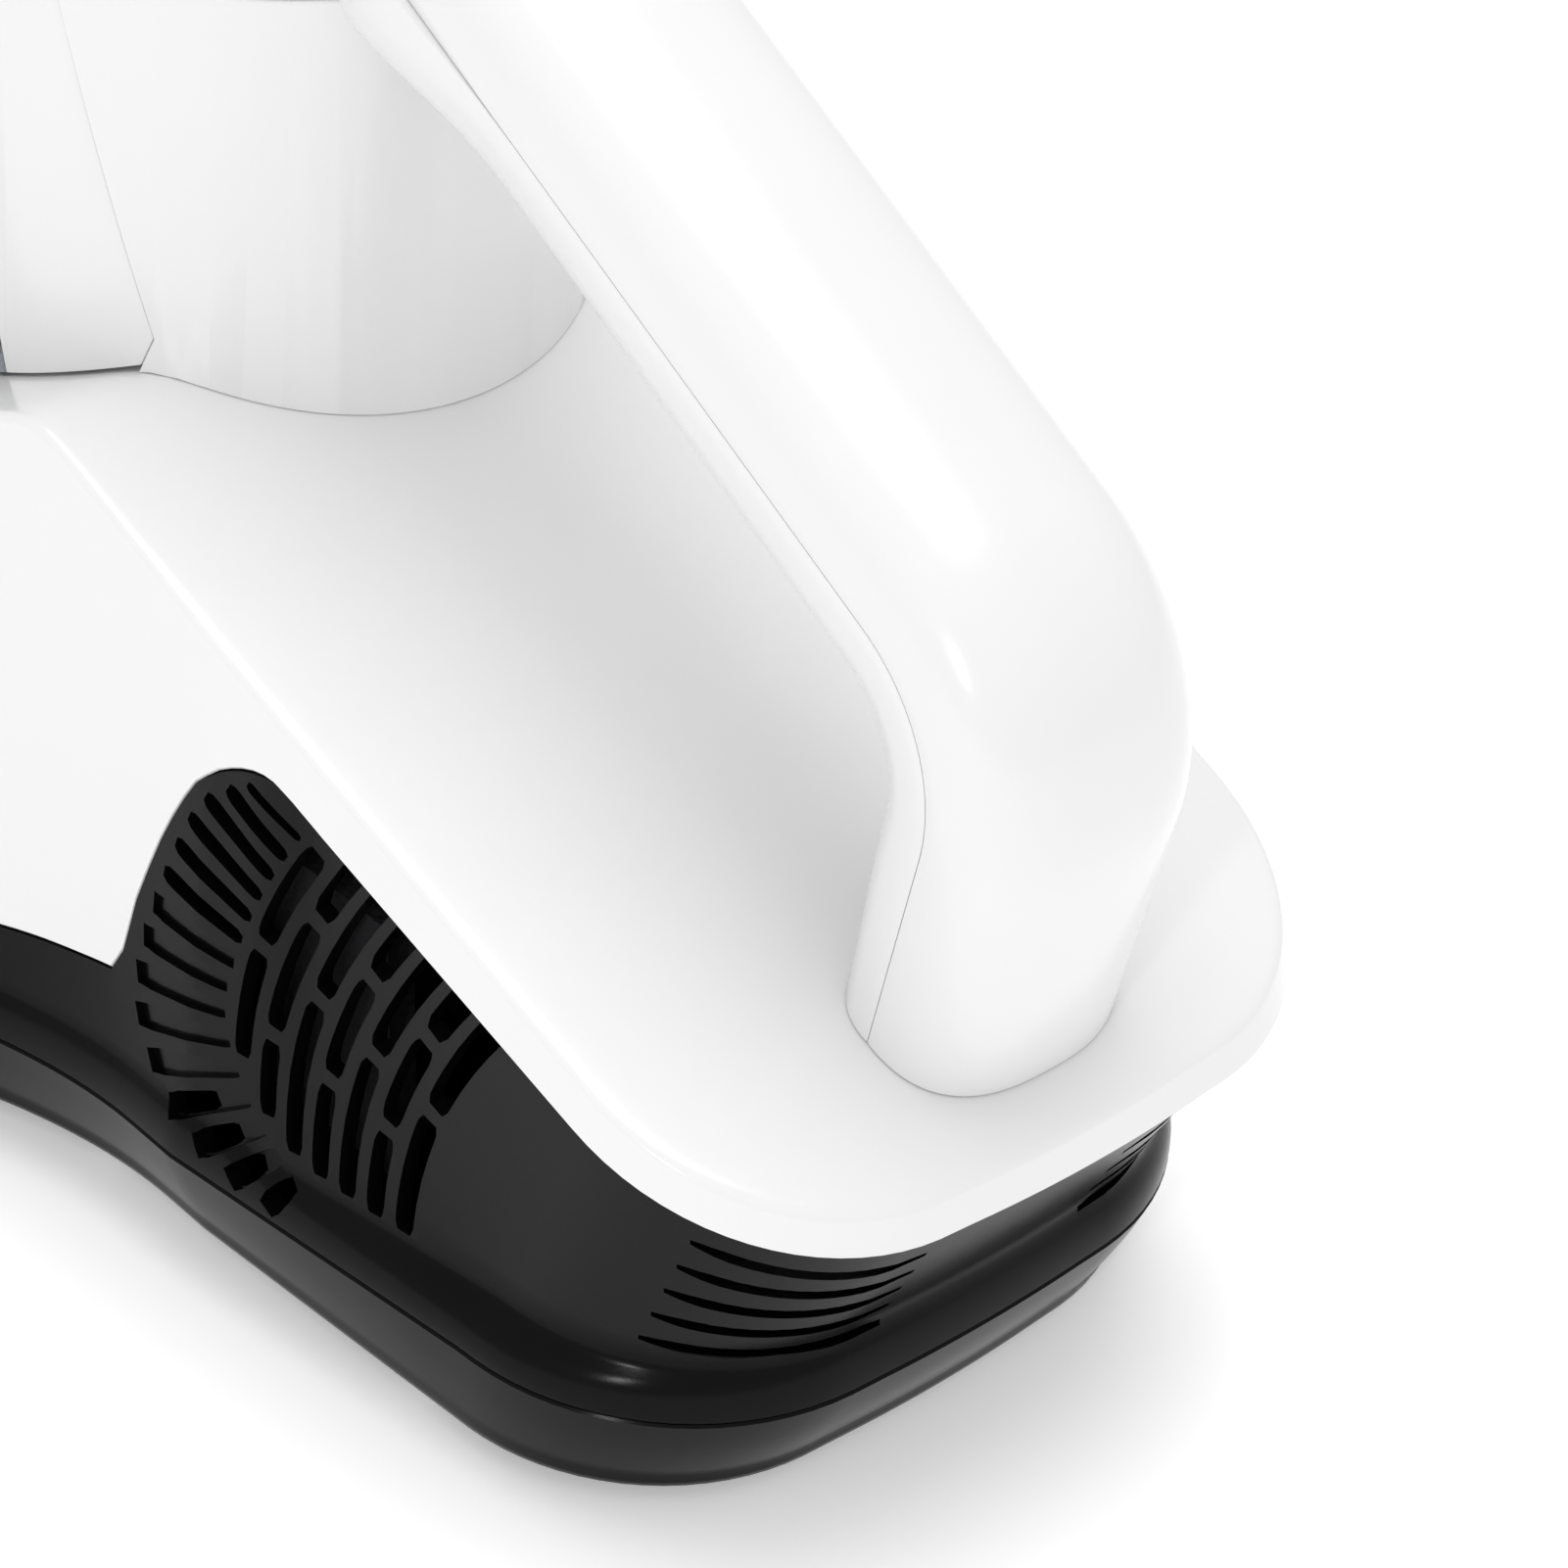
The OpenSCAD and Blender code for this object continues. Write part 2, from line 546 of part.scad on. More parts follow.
module pulley(r, bore) difference() {
    union() {
        cylinder(h = 6, r = r);
        cylinder(h = 1, r = r + 1.2);
        translate([0, 0, 5]) cylinder(h = 1, r = r + 1.2);
    }
    translate([0, 0, -1]) cylinder(h = 10, r = bore);
}
belt_x = -brush_len / 2 - 13;
brush_motor_s = 296;
brush_motor_z = 18;
pulley_big = 8;
pulley_small = 4;
module brush_pulley() color(grey) on_brush(belt_x) pulley(pulley_big, 3);
module motor_pulley() color(grey) at(brush_motor_s, brush_motor_z, belt_x) along_x() {
    pulley(pulley_small, pin_r);
    cylinder(h = 51, r = pin_r);
}
module motor_rotor() color(steel) at(brush_motor_s, brush_motor_z, belt_x + 14) along_x()
    ring(9, pin_r + 0.02, 34);
module brush_motor() color(steel) at(brush_motor_s, brush_motor_z, belt_x + 8) along_x()
    difference() {
        cylinder(h = 46, r = 12);
        translate([0, 0, 3]) cylinder(h = 40, r = 10);
        translate([0, 0, -1]) cylinder(h = 45, r = pin_r + run_gap);
    }
module drive_belt() color(rubber) {
    span = [brush_s - brush_motor_s, brush_z - ride - brush_motor_z];
    wrap_a = acos((pulley_big - pulley_small) / norm(span));
    at(brush_motor_s, brush_motor_z, belt_x + 1.3) rotate([0, 90, 0])
        rotate(-90 - atan2(span[1], span[0])) linear_extrude(3.4) difference() {
            belt_shape(norm(span), wrap_a, 1.3);
            belt_shape(norm(span), wrap_a, 0.2);
        }
}
// Outline of a belt round two wheels, the second one at distance c along X
module belt_shape(c, w, d) polygon(concat(
    [for (i = [0:12]) let (a = mix(180 - w, 180 + w, i / 12))
        (pulley_small + d) * [cos(a), sin(a)]],
    [for (i = [0:12]) let (a = mix(180 + w, 540 - w, i / 12))
        [c, 0] + (pulley_big + d) * [cos(a), sin(a)]]));

// ---- Lamp ----
module uv_lamp() color("#dfe6f5", 0.7) at(uv_s, 9, -60) along_x() cylinder(h = 120, r = 4);
module lamp_sockets() color(grey) pairwise() at(uv_s, 8.4, 66) difference() {
    cube([10, 12, 12], center = true);
    translate([-6.2, 0, 0.6]) along_x() cylinder(h = 6, r = 4.05);
}
module uv_reflector() color(steel) at(uv_s, 9, -59) along_x() difference() {
    cylinder(h = 118, r = 8);
    translate([0, 0, -1]) cylinder(h = 120, r = 7.3);
    translate([1, -20, -2]) cube([30, 40, 130]);
}
module uv_window() color("#cfd8e8", 0.5) at(uv_s, 0.2) cube([123, 17, 2], center = true);

// ---- Power and control ----
cell_r = 9.1;
cell_spots = [for (s = [33.5, 52.3], h = [17.8, 36.6]) [s, h]];
module battery_cells() color("#3f6f9f") for (q = cell_spots)
    at(q[0], q[1], -32.5) along_x() cylinder(h = 65, r = cell_r);
module battery_holder() color(black) difference() {
    at(42.9, 27.2) cube([60, 39.8, 39.8], center = true);
    for (q = cell_spots) at(q[0], q[1], -40) along_x() cylinder(h = 80, r = cell_r + 0.1);
}
module control_board() color("#2f6b45") at(87, 75) {
    cube([56, 36, 1.6], center = true);
    translate([12, 4, 1.8]) cube([12, 12, 2.2], center = true);
    translate([-14, -6, 4]) cylinder(h = 8, r = 4, center = true);
}
module charging_jack() color(black) at(jack_s, jack_z, -tail_hw - 2.2) along_x() difference() {
    cylinder(h = 14, r = 5.5);
    translate([0, 0, -1]) cylinder(h = 10, r = 2.85);
}

// ---- Fasteners and running gear ----
module plate_screws() color(steel) pairwise() for (q = screw_spots) at(q[1], 0, q[0]) {
    translate([0, 0, 0.2]) cylinder(h = 14.5, r = 1.35);
    translate([0, 0, -1]) cylinder(h = 1.2, r = 3);
}
module wheel_pins() color(steel) pairwise() for (q = [rear_wheel, front_wheel])
    at(q[1], wheel_axis_z, q[0] - wheel_w) along_x() cylinder(h = 2 * wheel_w, r = pin_r);
module wheel(q, side) at(q[1], wheel_axis_z, side * q[0] - wheel_w / 2) along_x()
    difference() {
        union() {
            cylinder(h = wheel_w, r = wheel_r - 0.8);
            translate([0, 0, 0.8]) cylinder(h = wheel_w - 1.6, r = wheel_r);
        }
        translate([0, 0, -1]) cylinder(h = wheel_w + 2, r = pin_r + run_gap);
    }
module wheel_rear_left() color(rubber) wheel(rear_wheel, 1);
module wheel_rear_right() color(rubber) wheel(rear_wheel, -1);
module wheel_front_left() color(rubber) wheel(front_wheel, 1);
module wheel_front_right() color(rubber) wheel(front_wheel, -1);
module contact_plunger() color(grey) at(plunger_s, -ride + 0.6) {
    cylinder(h = 8, r = 4);
    translate([0, 0, 5]) cylinder(h = 2, r = 6);
}

top_cover();
base_housing();
bottom_plate();
exhaust_filters();
handle_upper();
handle_lower();
handle_cap();
barrel_housing();
display_window();
latch_plate();
fan_motor();
motor_mounts();
fan_shroud();
impeller();
clean_air_duct();
outlet_seal();
battery_cells();
battery_holder();
control_board();
charging_jack();
suction_duct();
inlet_seal();
brush_chamber();
brush_bushes();
brush_motor();
motor_pulley();
motor_rotor();
drive_belt();
brush_core();
brush_bristles();
brush_pulley();
uv_lamp();
lamp_sockets();
uv_reflector();
uv_window();
plate_screws();
wheel_pins();
wheel_rear_left();
wheel_rear_right();
wheel_front_left();
wheel_front_right();
contact_plunger();
cup_collar();
cup_bowl();
cup_inlet_tube();
filter_frame();
filter_pleats();
filter_mesh();
latch_tongue();
release_button();
power_button();
mode_button();
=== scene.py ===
"""Looks of the handheld mattress vacuum cleaner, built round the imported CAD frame.

Shapes are worked out in millimetres as (x, station, level): stations run forward from the tail
and levels run up from the base's lower edge. row() turns them into the frame's metres.
"""
import json
import math

import bmesh
import bpy
from mathutils import Matrix, Vector


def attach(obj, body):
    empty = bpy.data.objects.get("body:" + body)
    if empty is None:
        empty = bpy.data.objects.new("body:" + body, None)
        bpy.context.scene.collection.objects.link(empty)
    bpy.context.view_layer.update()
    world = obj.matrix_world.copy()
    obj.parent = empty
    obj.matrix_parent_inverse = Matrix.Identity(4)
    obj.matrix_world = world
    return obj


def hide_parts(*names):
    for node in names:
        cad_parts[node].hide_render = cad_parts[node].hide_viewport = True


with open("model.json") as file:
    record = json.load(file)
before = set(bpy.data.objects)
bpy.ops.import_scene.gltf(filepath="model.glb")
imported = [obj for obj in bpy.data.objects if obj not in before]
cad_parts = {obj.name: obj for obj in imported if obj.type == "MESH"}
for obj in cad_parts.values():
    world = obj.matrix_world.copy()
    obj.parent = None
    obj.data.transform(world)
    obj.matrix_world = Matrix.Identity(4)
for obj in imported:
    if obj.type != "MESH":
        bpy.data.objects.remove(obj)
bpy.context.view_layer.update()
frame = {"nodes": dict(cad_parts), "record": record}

MM = 0.001
BODY_LEN = 390.0
TAIL_HW = 54.0
HEAD_HW = 118.0
WALL = 2.4
RIDE = 4.0
PARTING = 15.0
SHOULDER = 22.0
LIP_TUCK = 2.6
TUCK_LIFT = 0.3
BARREL_R = 43.0
BARREL_S = 161.0
CAP_SEAM = 156.0
CAP_TOP = 190.0
CUP_TOP = 186.0
CUP_LEAN = 15.3
CUP_STEP = 0.3
CUP_GAP = 0.6
CUP_SPLIT = 26.0
SEAM = 0.15
BRUSH_S = 352.0


def row(x, s, h):
    """A point given across, by station and by level, in the frame's metres."""
    return Vector((x, BODY_LEN / 2 - s, h + RIDE)) * MM


def mix(a, b, f):
    return a + (b - a) * f


def clip(v, lo, hi):
    return min(max(v, lo), hi)


def ease(v):
    """A smooth step from 0 to 1 as v does the same."""
    u = clip(v, 0, 1)
    return u * u * (3 - 2 * u)


def soft_max(a, b, k):
    """The larger of two levels, with the corner between them rounded by k."""
    return k * math.log(math.exp((a - 100) / k) + math.exp((b - 100) / k)) + 100


def lookup(v, table):
    """Straight-line interpolation in a list of (input, value) pairs."""
    for (a, x), (b, y) in zip(table, table[1:]):
        if v <= b:
            return mix(x, y, clip((v - a) / (b - a), 0, 1))
    return table[-1][1]


# ---- Side profile ----
TAIL_DECK = 54.2
DECK_RISE = 0.365
DECK_FALL = 0.44
CREST_S = 137.4
CREST_SOFT = 1.5
CREST_END = 150
HEAD_DECK = 52.0
HEAD_FALL = 0.04
HEAD_S = 270
HEAD_SOFT = 6
CREASE_DROP_TAIL = 0.6
CREASE_DROP_HEAD = 6
CREASE_FROM = 130
CREASE_OVER = 120
SKIRT_FROM = 78
SKIRT_OVER = 14
EDGE_LINE = [
    (0, 48.9), (80, 75.6), (84, 76.6), (88, 77.3), (91, 77.2), (94.9, 75.8), (98.3, 73.6),
    (101.8, 70.3), (105, 65), (108.5, 57.2), (111.8, 47.9), (113, 43), (114, 38), (115.4, 34.2),
    (122, 33.1), (128.5, 32.2), (135, 31.2), (142, 30), (160, 28), (200, 26.5), (400, 26),
]


def deck_line(s):
    """Level of the straight slope in front of the deck's crest."""
    return TAIL_DECK + DECK_RISE * CREST_S - DECK_FALL * (s - CREST_S)


def deck(s):
    """Level of the cover's top: up to the crest, down its slope, then along the head."""
    roof = -soft_max(-(TAIL_DECK + DECK_RISE * s), -deck_line(s), CREST_SOFT)
    if s < CREST_END:
        return roof
    return soft_max(roof, HEAD_DECK - HEAD_FALL * (s - HEAD_S), HEAD_SOFT)


def edge(s):
    """Level of the rim where the white cover meets the black base."""
    return lookup(s, EDGE_LINE)


def crease(s):
    """Level of the line where the deck turns down into the flank."""
    return deck(s) - mix(CREASE_DROP_TAIL, CREASE_DROP_HEAD, ease((s - CREASE_FROM) / CREASE_OVER))


def skirt_share(s):
    """How far the rim has left the tail's lip for the flank: 0 at the tail and 1 at the skirt."""
    return ease((s - SKIRT_FROM) / SKIRT_OVER)


# ---- Plan outlines ----
TAPER_END = 100
FLARE_END = 262
NOSE_BOW = 3
TAIL_N = 8
ARC_N = 18
STATIONS = [60 + 2 * i for i in range(50)] + [160 + 5 * i for i in range(33)]


class Plan:
    """One outline in plan, narrow at the tail and flaring into the head."""

    def __init__(self, tail_hw, taper, corner, bulge, tail_in, head_hw, nose_in, head_corner,
                 flare):
        self.tail_hw, self.taper, self.corner, self.bulge = tail_hw, taper, corner, bulge
        self.tail_in, self.head_hw, self.nose_in = tail_in, head_hw, nose_in
        self.head_corner, self.flare = head_corner, flare

    def inset(self, d, head_d=None):
        """The outline moved in by d, or by head_d round the head."""
        e = d if head_d is None else head_d
        return Plan(self.tail_hw - d, self.taper, self.corner - d, self.bulge, self.tail_in + d,
                    self.head_hw - e, self.nose_in + e, self.head_corner - 0.8 * e, self.flare)

    def half_width(self, s):
        """Half width along the side, clear of the round corners."""
        b = self.tail_hw + self.taper * (min(s, TAPER_END) - self.tail_in - self.corner)
        return b + (self.head_hw - b) * ease((s - self.flare) / (FLARE_END - self.flare))

    def half(self):
        """Points (x, station) from the middle of the tail to the middle of the nose."""
        r, b, w = self.corner, self.bulge, self.tail_hw
        cx = w - r
        cs = self.tail_in + r + b * (cx / w) ** 2
        hx = self.head_hw - self.head_corner
        hs = BODY_LEN - self.nose_in - self.head_corner - NOSE_BOW
        turn = math.degrees(math.atan(2 * b * cx / w ** 2))
        points = [(cx * j / TAIL_N, self.tail_in + b * (cx * j / TAIL_N / w) ** 2)
                  for j in range(TAIL_N)]
        for j in range(ARC_N):
            a = math.radians(mix(turn - 90, 0, j / ARC_N))
            points.append((cx + r * math.cos(a), cs + r * math.sin(a)))
        for j in range(3):
            s = mix(cs, STATIONS[0], j / 3)
            points.append((self.half_width(s), s))
        points += [(self.half_width(s), s) for s in STATIONS]
        for j in range(1, ARC_N + 1):
            a = math.radians(90 * j / ARC_N)
            points.append((hx + self.head_corner * math.cos(a), hs + self.head_corner * math.sin(a)))
        for j in range(TAIL_N - 1, -1, -1):
            x = hx * j / TAIL_N
            points.append((x, hs + self.head_corner + NOSE_BOW * (1 - (x / hx) ** 2)))
        return points

    def outline(self):
        """Points (x, station) all the way round."""
        h = self.half()
        return h + [(-x, s) for x, s in h[-2:0:-1]]


LIP = Plan(TAIL_HW, 0.027, 32, 5.3, 0, HEAD_HW + 1, 0, 42, 112)
CREASE = Plan(TAIL_HW - 1.1, 0.027, 30.9, 5.3, 1.1, HEAD_HW - 12, 11, 36, 130)
SHOULDER_PLAN = Plan(TAIL_HW - 3.4, 0.16, 31, 5.5, 15, HEAD_HW + 0.5, 0, 42, 108)
PARTING_PLAN = Plan(TAIL_HW + 1.2, 0.12, 35.6, 5.5, 13.3, HEAD_HW + 2, 0, 42, 108)
LOWER_PLAN = Plan(TAIL_HW - 1, 0.07, 32.9, 5.5, 19.2, HEAD_HW, 0, 42, 108)


def level_ring(points, h):
    return [row(x, s, h) for x, s in points]


def blend_ring(a, b, f, h):
    return [row(mix(p[0], q[0], f), mix(p[1], q[1], f), h) for p, q in zip(a, b)]


def draped_ring(points, drop):
    return [row(x, s, deck(s) - drop) for x, s in points]


def flank_ring(d, gap, tuck):
    """The rim between cover and base, d inside the skin, gap above it and tucked under the lip."""
    top, low = CREASE.inset(d).outline(), SHOULDER_PLAN.inset(d).outline()
    lip = LIP.inset(d + tuck, d).outline()
    points = []
    for t, b, e in zip(top, low, lip):
        h = edge(t[1]) + gap
        f = clip((crease(t[1]) - h) / (crease(t[1]) - SHOULDER), 0, 1)
        w = skirt_share(t[1])
        points.append(row(mix(e[0], mix(t[0], b[0], f), w), mix(e[1], mix(t[1], b[1], f), w),
                          h + max(1 - 8 * w, 0) * tuck * TUCK_LIFT))
    return points


def between(a, b, n):
    """n rings evenly spaced between two rings, without the two themselves."""
    return [[p.lerp(q, k / (n + 1)) for p, q in zip(a, b)] for k in range(1, n + 1)]


# ---- Mesh helpers ----
SHARP = 32.0
TURNED_STEPS = 144
ROD_STEPS = 48
BEVEL_SEGMENTS = 3
BEVEL_ANGLE = 38.0
BEVEL_SHARP = 40.0


def piece(name, points, faces, sharp=SHARP):
    """A mesh object in the scene, shaded smooth except at edges over the sharp angle."""
    mesh = bpy.data.meshes.new(name)
    mesh.from_pydata([tuple(p) for p in points], [], faces)
    obj = bpy.data.objects.new(name, mesh)
    bpy.context.scene.collection.objects.link(obj)
    tidy_normals(obj, sharp)
    return obj


def tidy_normals(obj, sharp=SHARP):
    """Turns all faces outwards and marks the sharp edges."""
    bm = bmesh.new()
    bm.from_mesh(obj.data)
    bmesh.ops.recalc_face_normals(bm, faces=bm.faces)
    bm.to_mesh(obj.data)
    bm.free()
    obj.data.shade_smooth()
    obj.data.set_sharp_from_angle(angle=math.radians(sharp))


def loft(name, rings, wrap=False, ends="none", sharp=SHARP):
    """A skin over rings of points. ends closes the first and last ring: zip joins the points that
    face each other across the middle line, and fan closes them with one face."""
    m, n = len(rings[0]), len(rings)
    points = [p for r in rings for p in r]
    faces = []
    for k in range(n if wrap else n - 1):
        a, b = k * m, (k + 1) % n * m
        faces += [(a + i, a + (i + 1) % m, b + (i + 1) % m, b + i) for i in range(m)]
    if ends == "fan":
        faces += [tuple(range(m)), tuple(range((n - 1) * m, n * m))]
    if ends == "zip":
        for o in (0, (n - 1) * m):
            faces.append((o, o + 1, o + m - 1))
            faces += [(o + i, o + i + 1, o + m - i - 1, o + m - i) for i in range(1, m // 2 - 1)]
            faces.append((o + m // 2 - 1, o + m // 2, o + m // 2 + 1))
    return piece(name, points, faces, sharp)


def side_prism(name, outline, half):
    """A block with its outline drawn in (station, level), from -half to half across."""
    n = len(outline)
    points = [row(x, s, h) for x in (-half, half) for s, h in outline]
    faces = [tuple(range(n)), tuple(range(n, 2 * n))]
    faces += [(i, (i + 1) % n, n + (i + 1) % n, n + i) for i in range(n)]
    return piece(name, points, faces)


def turned(name, profile, axis_s):
    """A solid of revolution about a vertical axis from a profile of (radius, level)."""
    turns = [math.tau * i / TURNED_STEPS for i in range(TURNED_STEPS)]
    rings = [[row(r * math.cos(a), axis_s + r * math.sin(a), h) for a in turns] for r, h in profile]
    return loft(name, rings, ends="fan")


def rod(name, base, direction, length, radius):
    """A cylinder from a point in the frame's metres; its length and radius are in millimetres."""
    z = Vector(direction).normalized()
    x = z.orthogonal().normalized()
    y = z.cross(x)
    turns = [math.tau * i / ROD_STEPS for i in range(ROD_STEPS)]
    spokes = [x * math.cos(a) + y * math.sin(a) for a in turns]
    rings = [[base + z * t + spoke * radius * MM for spoke in spokes] for t in (0, length * MM)]
    return loft(name, rings, ends="fan")


def block(name, centre, size, tilt=0.0):
    """A box round a point, its size in millimetres; tilt turns it about X, in degrees."""
    turn = Matrix.Rotation(math.radians(tilt), 3, "X")
    points = [centre + turn @ Vector((x * size[0], y * size[1], z * size[2])) * MM / 2
              for x in (-1, 1) for y in (-1, 1) for z in (-1, 1)]
    faces = [(0, 1, 3, 2), (4, 6, 7, 5), (0, 4, 5, 1), (2, 3, 7, 6), (0, 2, 6, 4), (1, 5, 7, 3)]
    return piece(name, points, faces)


def joined(name, objects):
    """One object out of several, which are removed."""
    mesh = bpy.data.meshes.new(name)
    bm = bmesh.new()
    for o in objects:
        bm.from_mesh(o.data)
        bpy.data.objects.remove(o)
    bm.to_mesh(mesh)
    bm.free()
    obj = bpy.data.objects.new(name, mesh)
    bpy.context.scene.collection.objects.link(obj)
    tidy_normals(obj)
    return obj


def carve(obj, cutter, operation="DIFFERENCE", overlaps=False):
    """Cuts obj with another solid, which is used up; overlaps is for a cutter that crosses itself."""
    step = obj.modifiers.new("carve", "BOOLEAN")
    step.object = cutter
    step.operation = operation
    step.solver = "EXACT"
    step.use_self = overlaps
    settle(obj)
    bpy.data.objects.remove(cutter)
    return obj


def settle(obj, sharp=SHARP):
    """Applies every modifier of obj."""
    bpy.context.view_layer.update()
    made = bpy.data.meshes.new_from_object(obj.evaluated_get(bpy.context.evaluated_depsgraph_get()))
    obj.modifiers.clear()
    obj.data = made
    tidy_normals(obj, sharp)


def soften(obj, width):
    """Rounds the sharp edges of a solid; width is in millimetres."""
    bevel = obj.modifiers.new("soften", "BEVEL")
    bevel.width = width * MM
    bevel.segments = BEVEL_SEGMENTS
    bevel.limit_method = "ANGLE"
    bevel.angle_limit = math.radians(BEVEL_ANGLE)
    bevel.use_clamp_overlap = True
    settle(obj, BEVEL_SHARP)
    return obj


# ---- Materials ----
def material(name, color, rough, metal=0.0, grain=None, spread=0.0, coat=0.0, tint=0.0, **sockets):
    """A moulded or metal surface. grain is (size in mm, depth in mm) of the bump, spread varies the
    roughness and tint varies the colour, both by soft noise in the object's own coordinates."""
    m = bpy.data.materials.new(name)
    m.use_nodes = True
    nodes, links = m.node_tree.nodes, m.node_tree.links
    shader = nodes["Principled BSDF"]
    shader.inputs["Base Color"].default_value = (*color, 1)
    shader.inputs["Roughness"].default_value = rough
    shader.inputs["Metallic"].default_value = metal
    shader.inputs["Coat Weight"].default_value = coat
    shader.inputs["Coat Roughness"].default_value = 0.06
    for key, value in sockets.items():
        shader.inputs[key.replace("_", " ")].default_value = value
    where = nodes.new("ShaderNodeTexCoord").outputs["Object"]
    if grain:
        fine = nodes.new("ShaderNodeTexNoise")
        fine.inputs["Scale"].default_value = 1000 / grain[0]
        fine.inputs["Detail"].default_value = 3
        bump = nodes.new("ShaderNodeBump")
        bump.inputs["Strength"].default_value = 1
        bump.inputs["Distance"].default_value = grain[1] * MM
        links.new(where, fine.inputs["Vector"])
        links.new(fine.outputs["Fac"], bump.inputs["Height"])
        links.new(bump.outputs["Normal"], shader.inputs["Normal"])
    if spread or tint:
        cloud = nodes.new("ShaderNodeTexNoise")
        cloud.inputs["Scale"].default_value = 40
        cloud.inputs["Detail"].default_value = 4
        links.new(where, cloud.inputs["Vector"])
    if spread:
        span = nodes.new("ShaderNodeMapRange")
        span.inputs["From Min"].default_value = 0.3
        span.inputs["From Max"].default_value = 0.7
        span.inputs["To Min"].default_value = max(rough - spread, 0.02)
        span.inputs["To Max"].default_value = rough + spread
        links.new(cloud.outputs["Fac"], span.inputs["Value"])
        links.new(span.outputs["Result"], shader.inputs["Roughness"])
    if tint:
        ramp = nodes.new("ShaderNodeValToRGB")
        ramp.color_ramp.elements[0].position = 0.35
        ramp.color_ramp.elements[1].position = 0.65
        ramp.color_ramp.elements[0].color = (*[c * (1 - tint) for c in color], 1)
        ramp.color_ramp.elements[1].color = (*[min(c * (1 + tint), 1) for c in color], 1)
        links.new(cloud.outputs["Fac"], ramp.inputs["Fac"])
        links.new(ramp.outputs["Color"], shader.inputs["Base Color"])
    return m


MATERIALS = {
    "white_gloss": material("white_gloss", (0.775, 0.775, 0.775), 0.22, grain=(14, 0.012), spread=0.03,
                            tint=0.004, coat=0.2),
    "black_satin": material("black_satin", (0.002, 0.002, 0.0021), 0.2, grain=(0.4, 0.007),
                            spread=0.03, tint=0.1, Specular_IOR_Level=0.1),
    "dark_window": material("dark_window", (0.006, 0.006, 0.008), 0.06, grain=(20, 0.005),
                            spread=0.02, coat=0.6),
    "grey_plastic": material("grey_plastic", (0.33, 0.34, 0.35), 0.38, grain=(0.4, 0.01),
                             spread=0.04, tint=0.03),
    "soft_rubber": material("soft_rubber", (0.025, 0.025, 0.027), 0.7, grain=(0.8, 0.03),
                            spread=0.06, tint=0.12, Specular_IOR_Level=0.3),
    "steel": material("steel", (0.62, 0.63, 0.64), 0.28, metal=1.0, grain=(0.3, 0.004),
                      spread=0.07, tint=0.04),
    "bronze": material("bronze", (0.5, 0.33, 0.15), 0.36, metal=1.0, grain=(0.5, 0.01),
                       spread=0.08, tint=0.08),
    "cell_wrap": material("cell_wrap", (0.04, 0.13, 0.3), 0.3, grain=(6, 0.02), spread=0.05,
                          tint=0.05, coat=0.2),
    "circuit_board": material("circuit_board", (0.015, 0.12, 0.04), 0.35, grain=(1.2, 0.03),
                              spread=0.06, tint=0.2),
    "foam": material("foam", (0.02, 0.02, 0.022), 0.95, grain=(0.9, 0.5), tint=0.35,
                     Specular_IOR_Level=0.1),
    "bristle": material("bristle", (0.03, 0.035, 0.042), 0.5, grain=(0.3, 0.02), spread=0.1,
                        tint=0.3),
    "filter_paper": material("filter_paper", (0.8, 0.78, 0.72), 0.85, grain=(0.4, 0.06),
                             tint=0.05),
    "smoked_clear": material("smoked_clear", (0.3, 0.32, 0.35), 0.06, grain=(25, 0.01),
                             spread=0.02, Transmission_Weight=0.92, IOR=1.46),
    "lamp_glass": material("lamp_glass", (0.86, 0.9, 1.0), 0.04, grain=(25, 0.005),
                           Transmission_Weight=0.85, IOR=1.46),
}


def dress(obj, slot):
    """Gives a mesh the material of a record slot."""
    if not obj.material_slots:
        obj.data.materials.append(MATERIALS[slot])
    for s in obj.material_slots:
        s.material = MATERIALS[slot]


def finished(obj, slot, body, *nodes):
    """Dresses a piece, ties it to its body and hides the CAD nodes that it stands for."""
    obj.data.materials.clear()
    dress(obj, slot)
    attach(obj, body)
    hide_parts(*nodes)
    return obj


# ---- Camera at the photograph's viewing angle ----
VIEW_AZIMUTH = 134.5
VIEW_ELEVATION = 35.28
VIEW_ROLL = 5.29
VIEW_FROM = (0.3320, 0.4641, 0.4051)
VIEW_LENS = 106.63


def place_camera():
    """Places the camera from its azimuth, elevation and roll."""
    a, e, q = (math.radians(v) for v in (VIEW_AZIMUTH, VIEW_ELEVATION, VIEW_ROLL))
    back = Vector((math.sin(a) * math.cos(e), -math.cos(a) * math.cos(e), math.sin(e)))
    right = Vector((0, 0, 1)).cross(back).normalized()
    up = back.cross(right)
    side = right * math.cos(q) + up * math.sin(q)
    top = up * math.cos(q) - right * math.sin(q)
    data = bpy.data.cameras.new("camera")
    data.lens = VIEW_LENS
    data.sensor_width = 36
    data.clip_start = 0.01
    obj = bpy.data.objects.new("camera", data)
    turn = Matrix((side, top, back)).transposed().to_4x4()
    obj.matrix_world = Matrix.Translation(VIEW_FROM) @ turn
    bpy.context.scene.collection.objects.link(obj)
    bpy.context.scene.camera = obj


place_camera()


# ---- Floor and lights ----
FLOOR_HALF = 4
FLOOR_LEVEL = -0.0002
WORLD_LIGHT = 0.76


def soft_light(name, place, aim, size, power):
    data = bpy.data.lights.new(name, "AREA")
    data.shape = "DISK"
    data.size = size
    data.energy = power
    obj = bpy.data.objects.new(name, data)
    obj.location = place
    obj.rotation_euler = (Vector(aim) - Vector(place)).to_track_quat("-Z", "Y").to_euler()
    bpy.context.scene.collection.objects.link(obj)


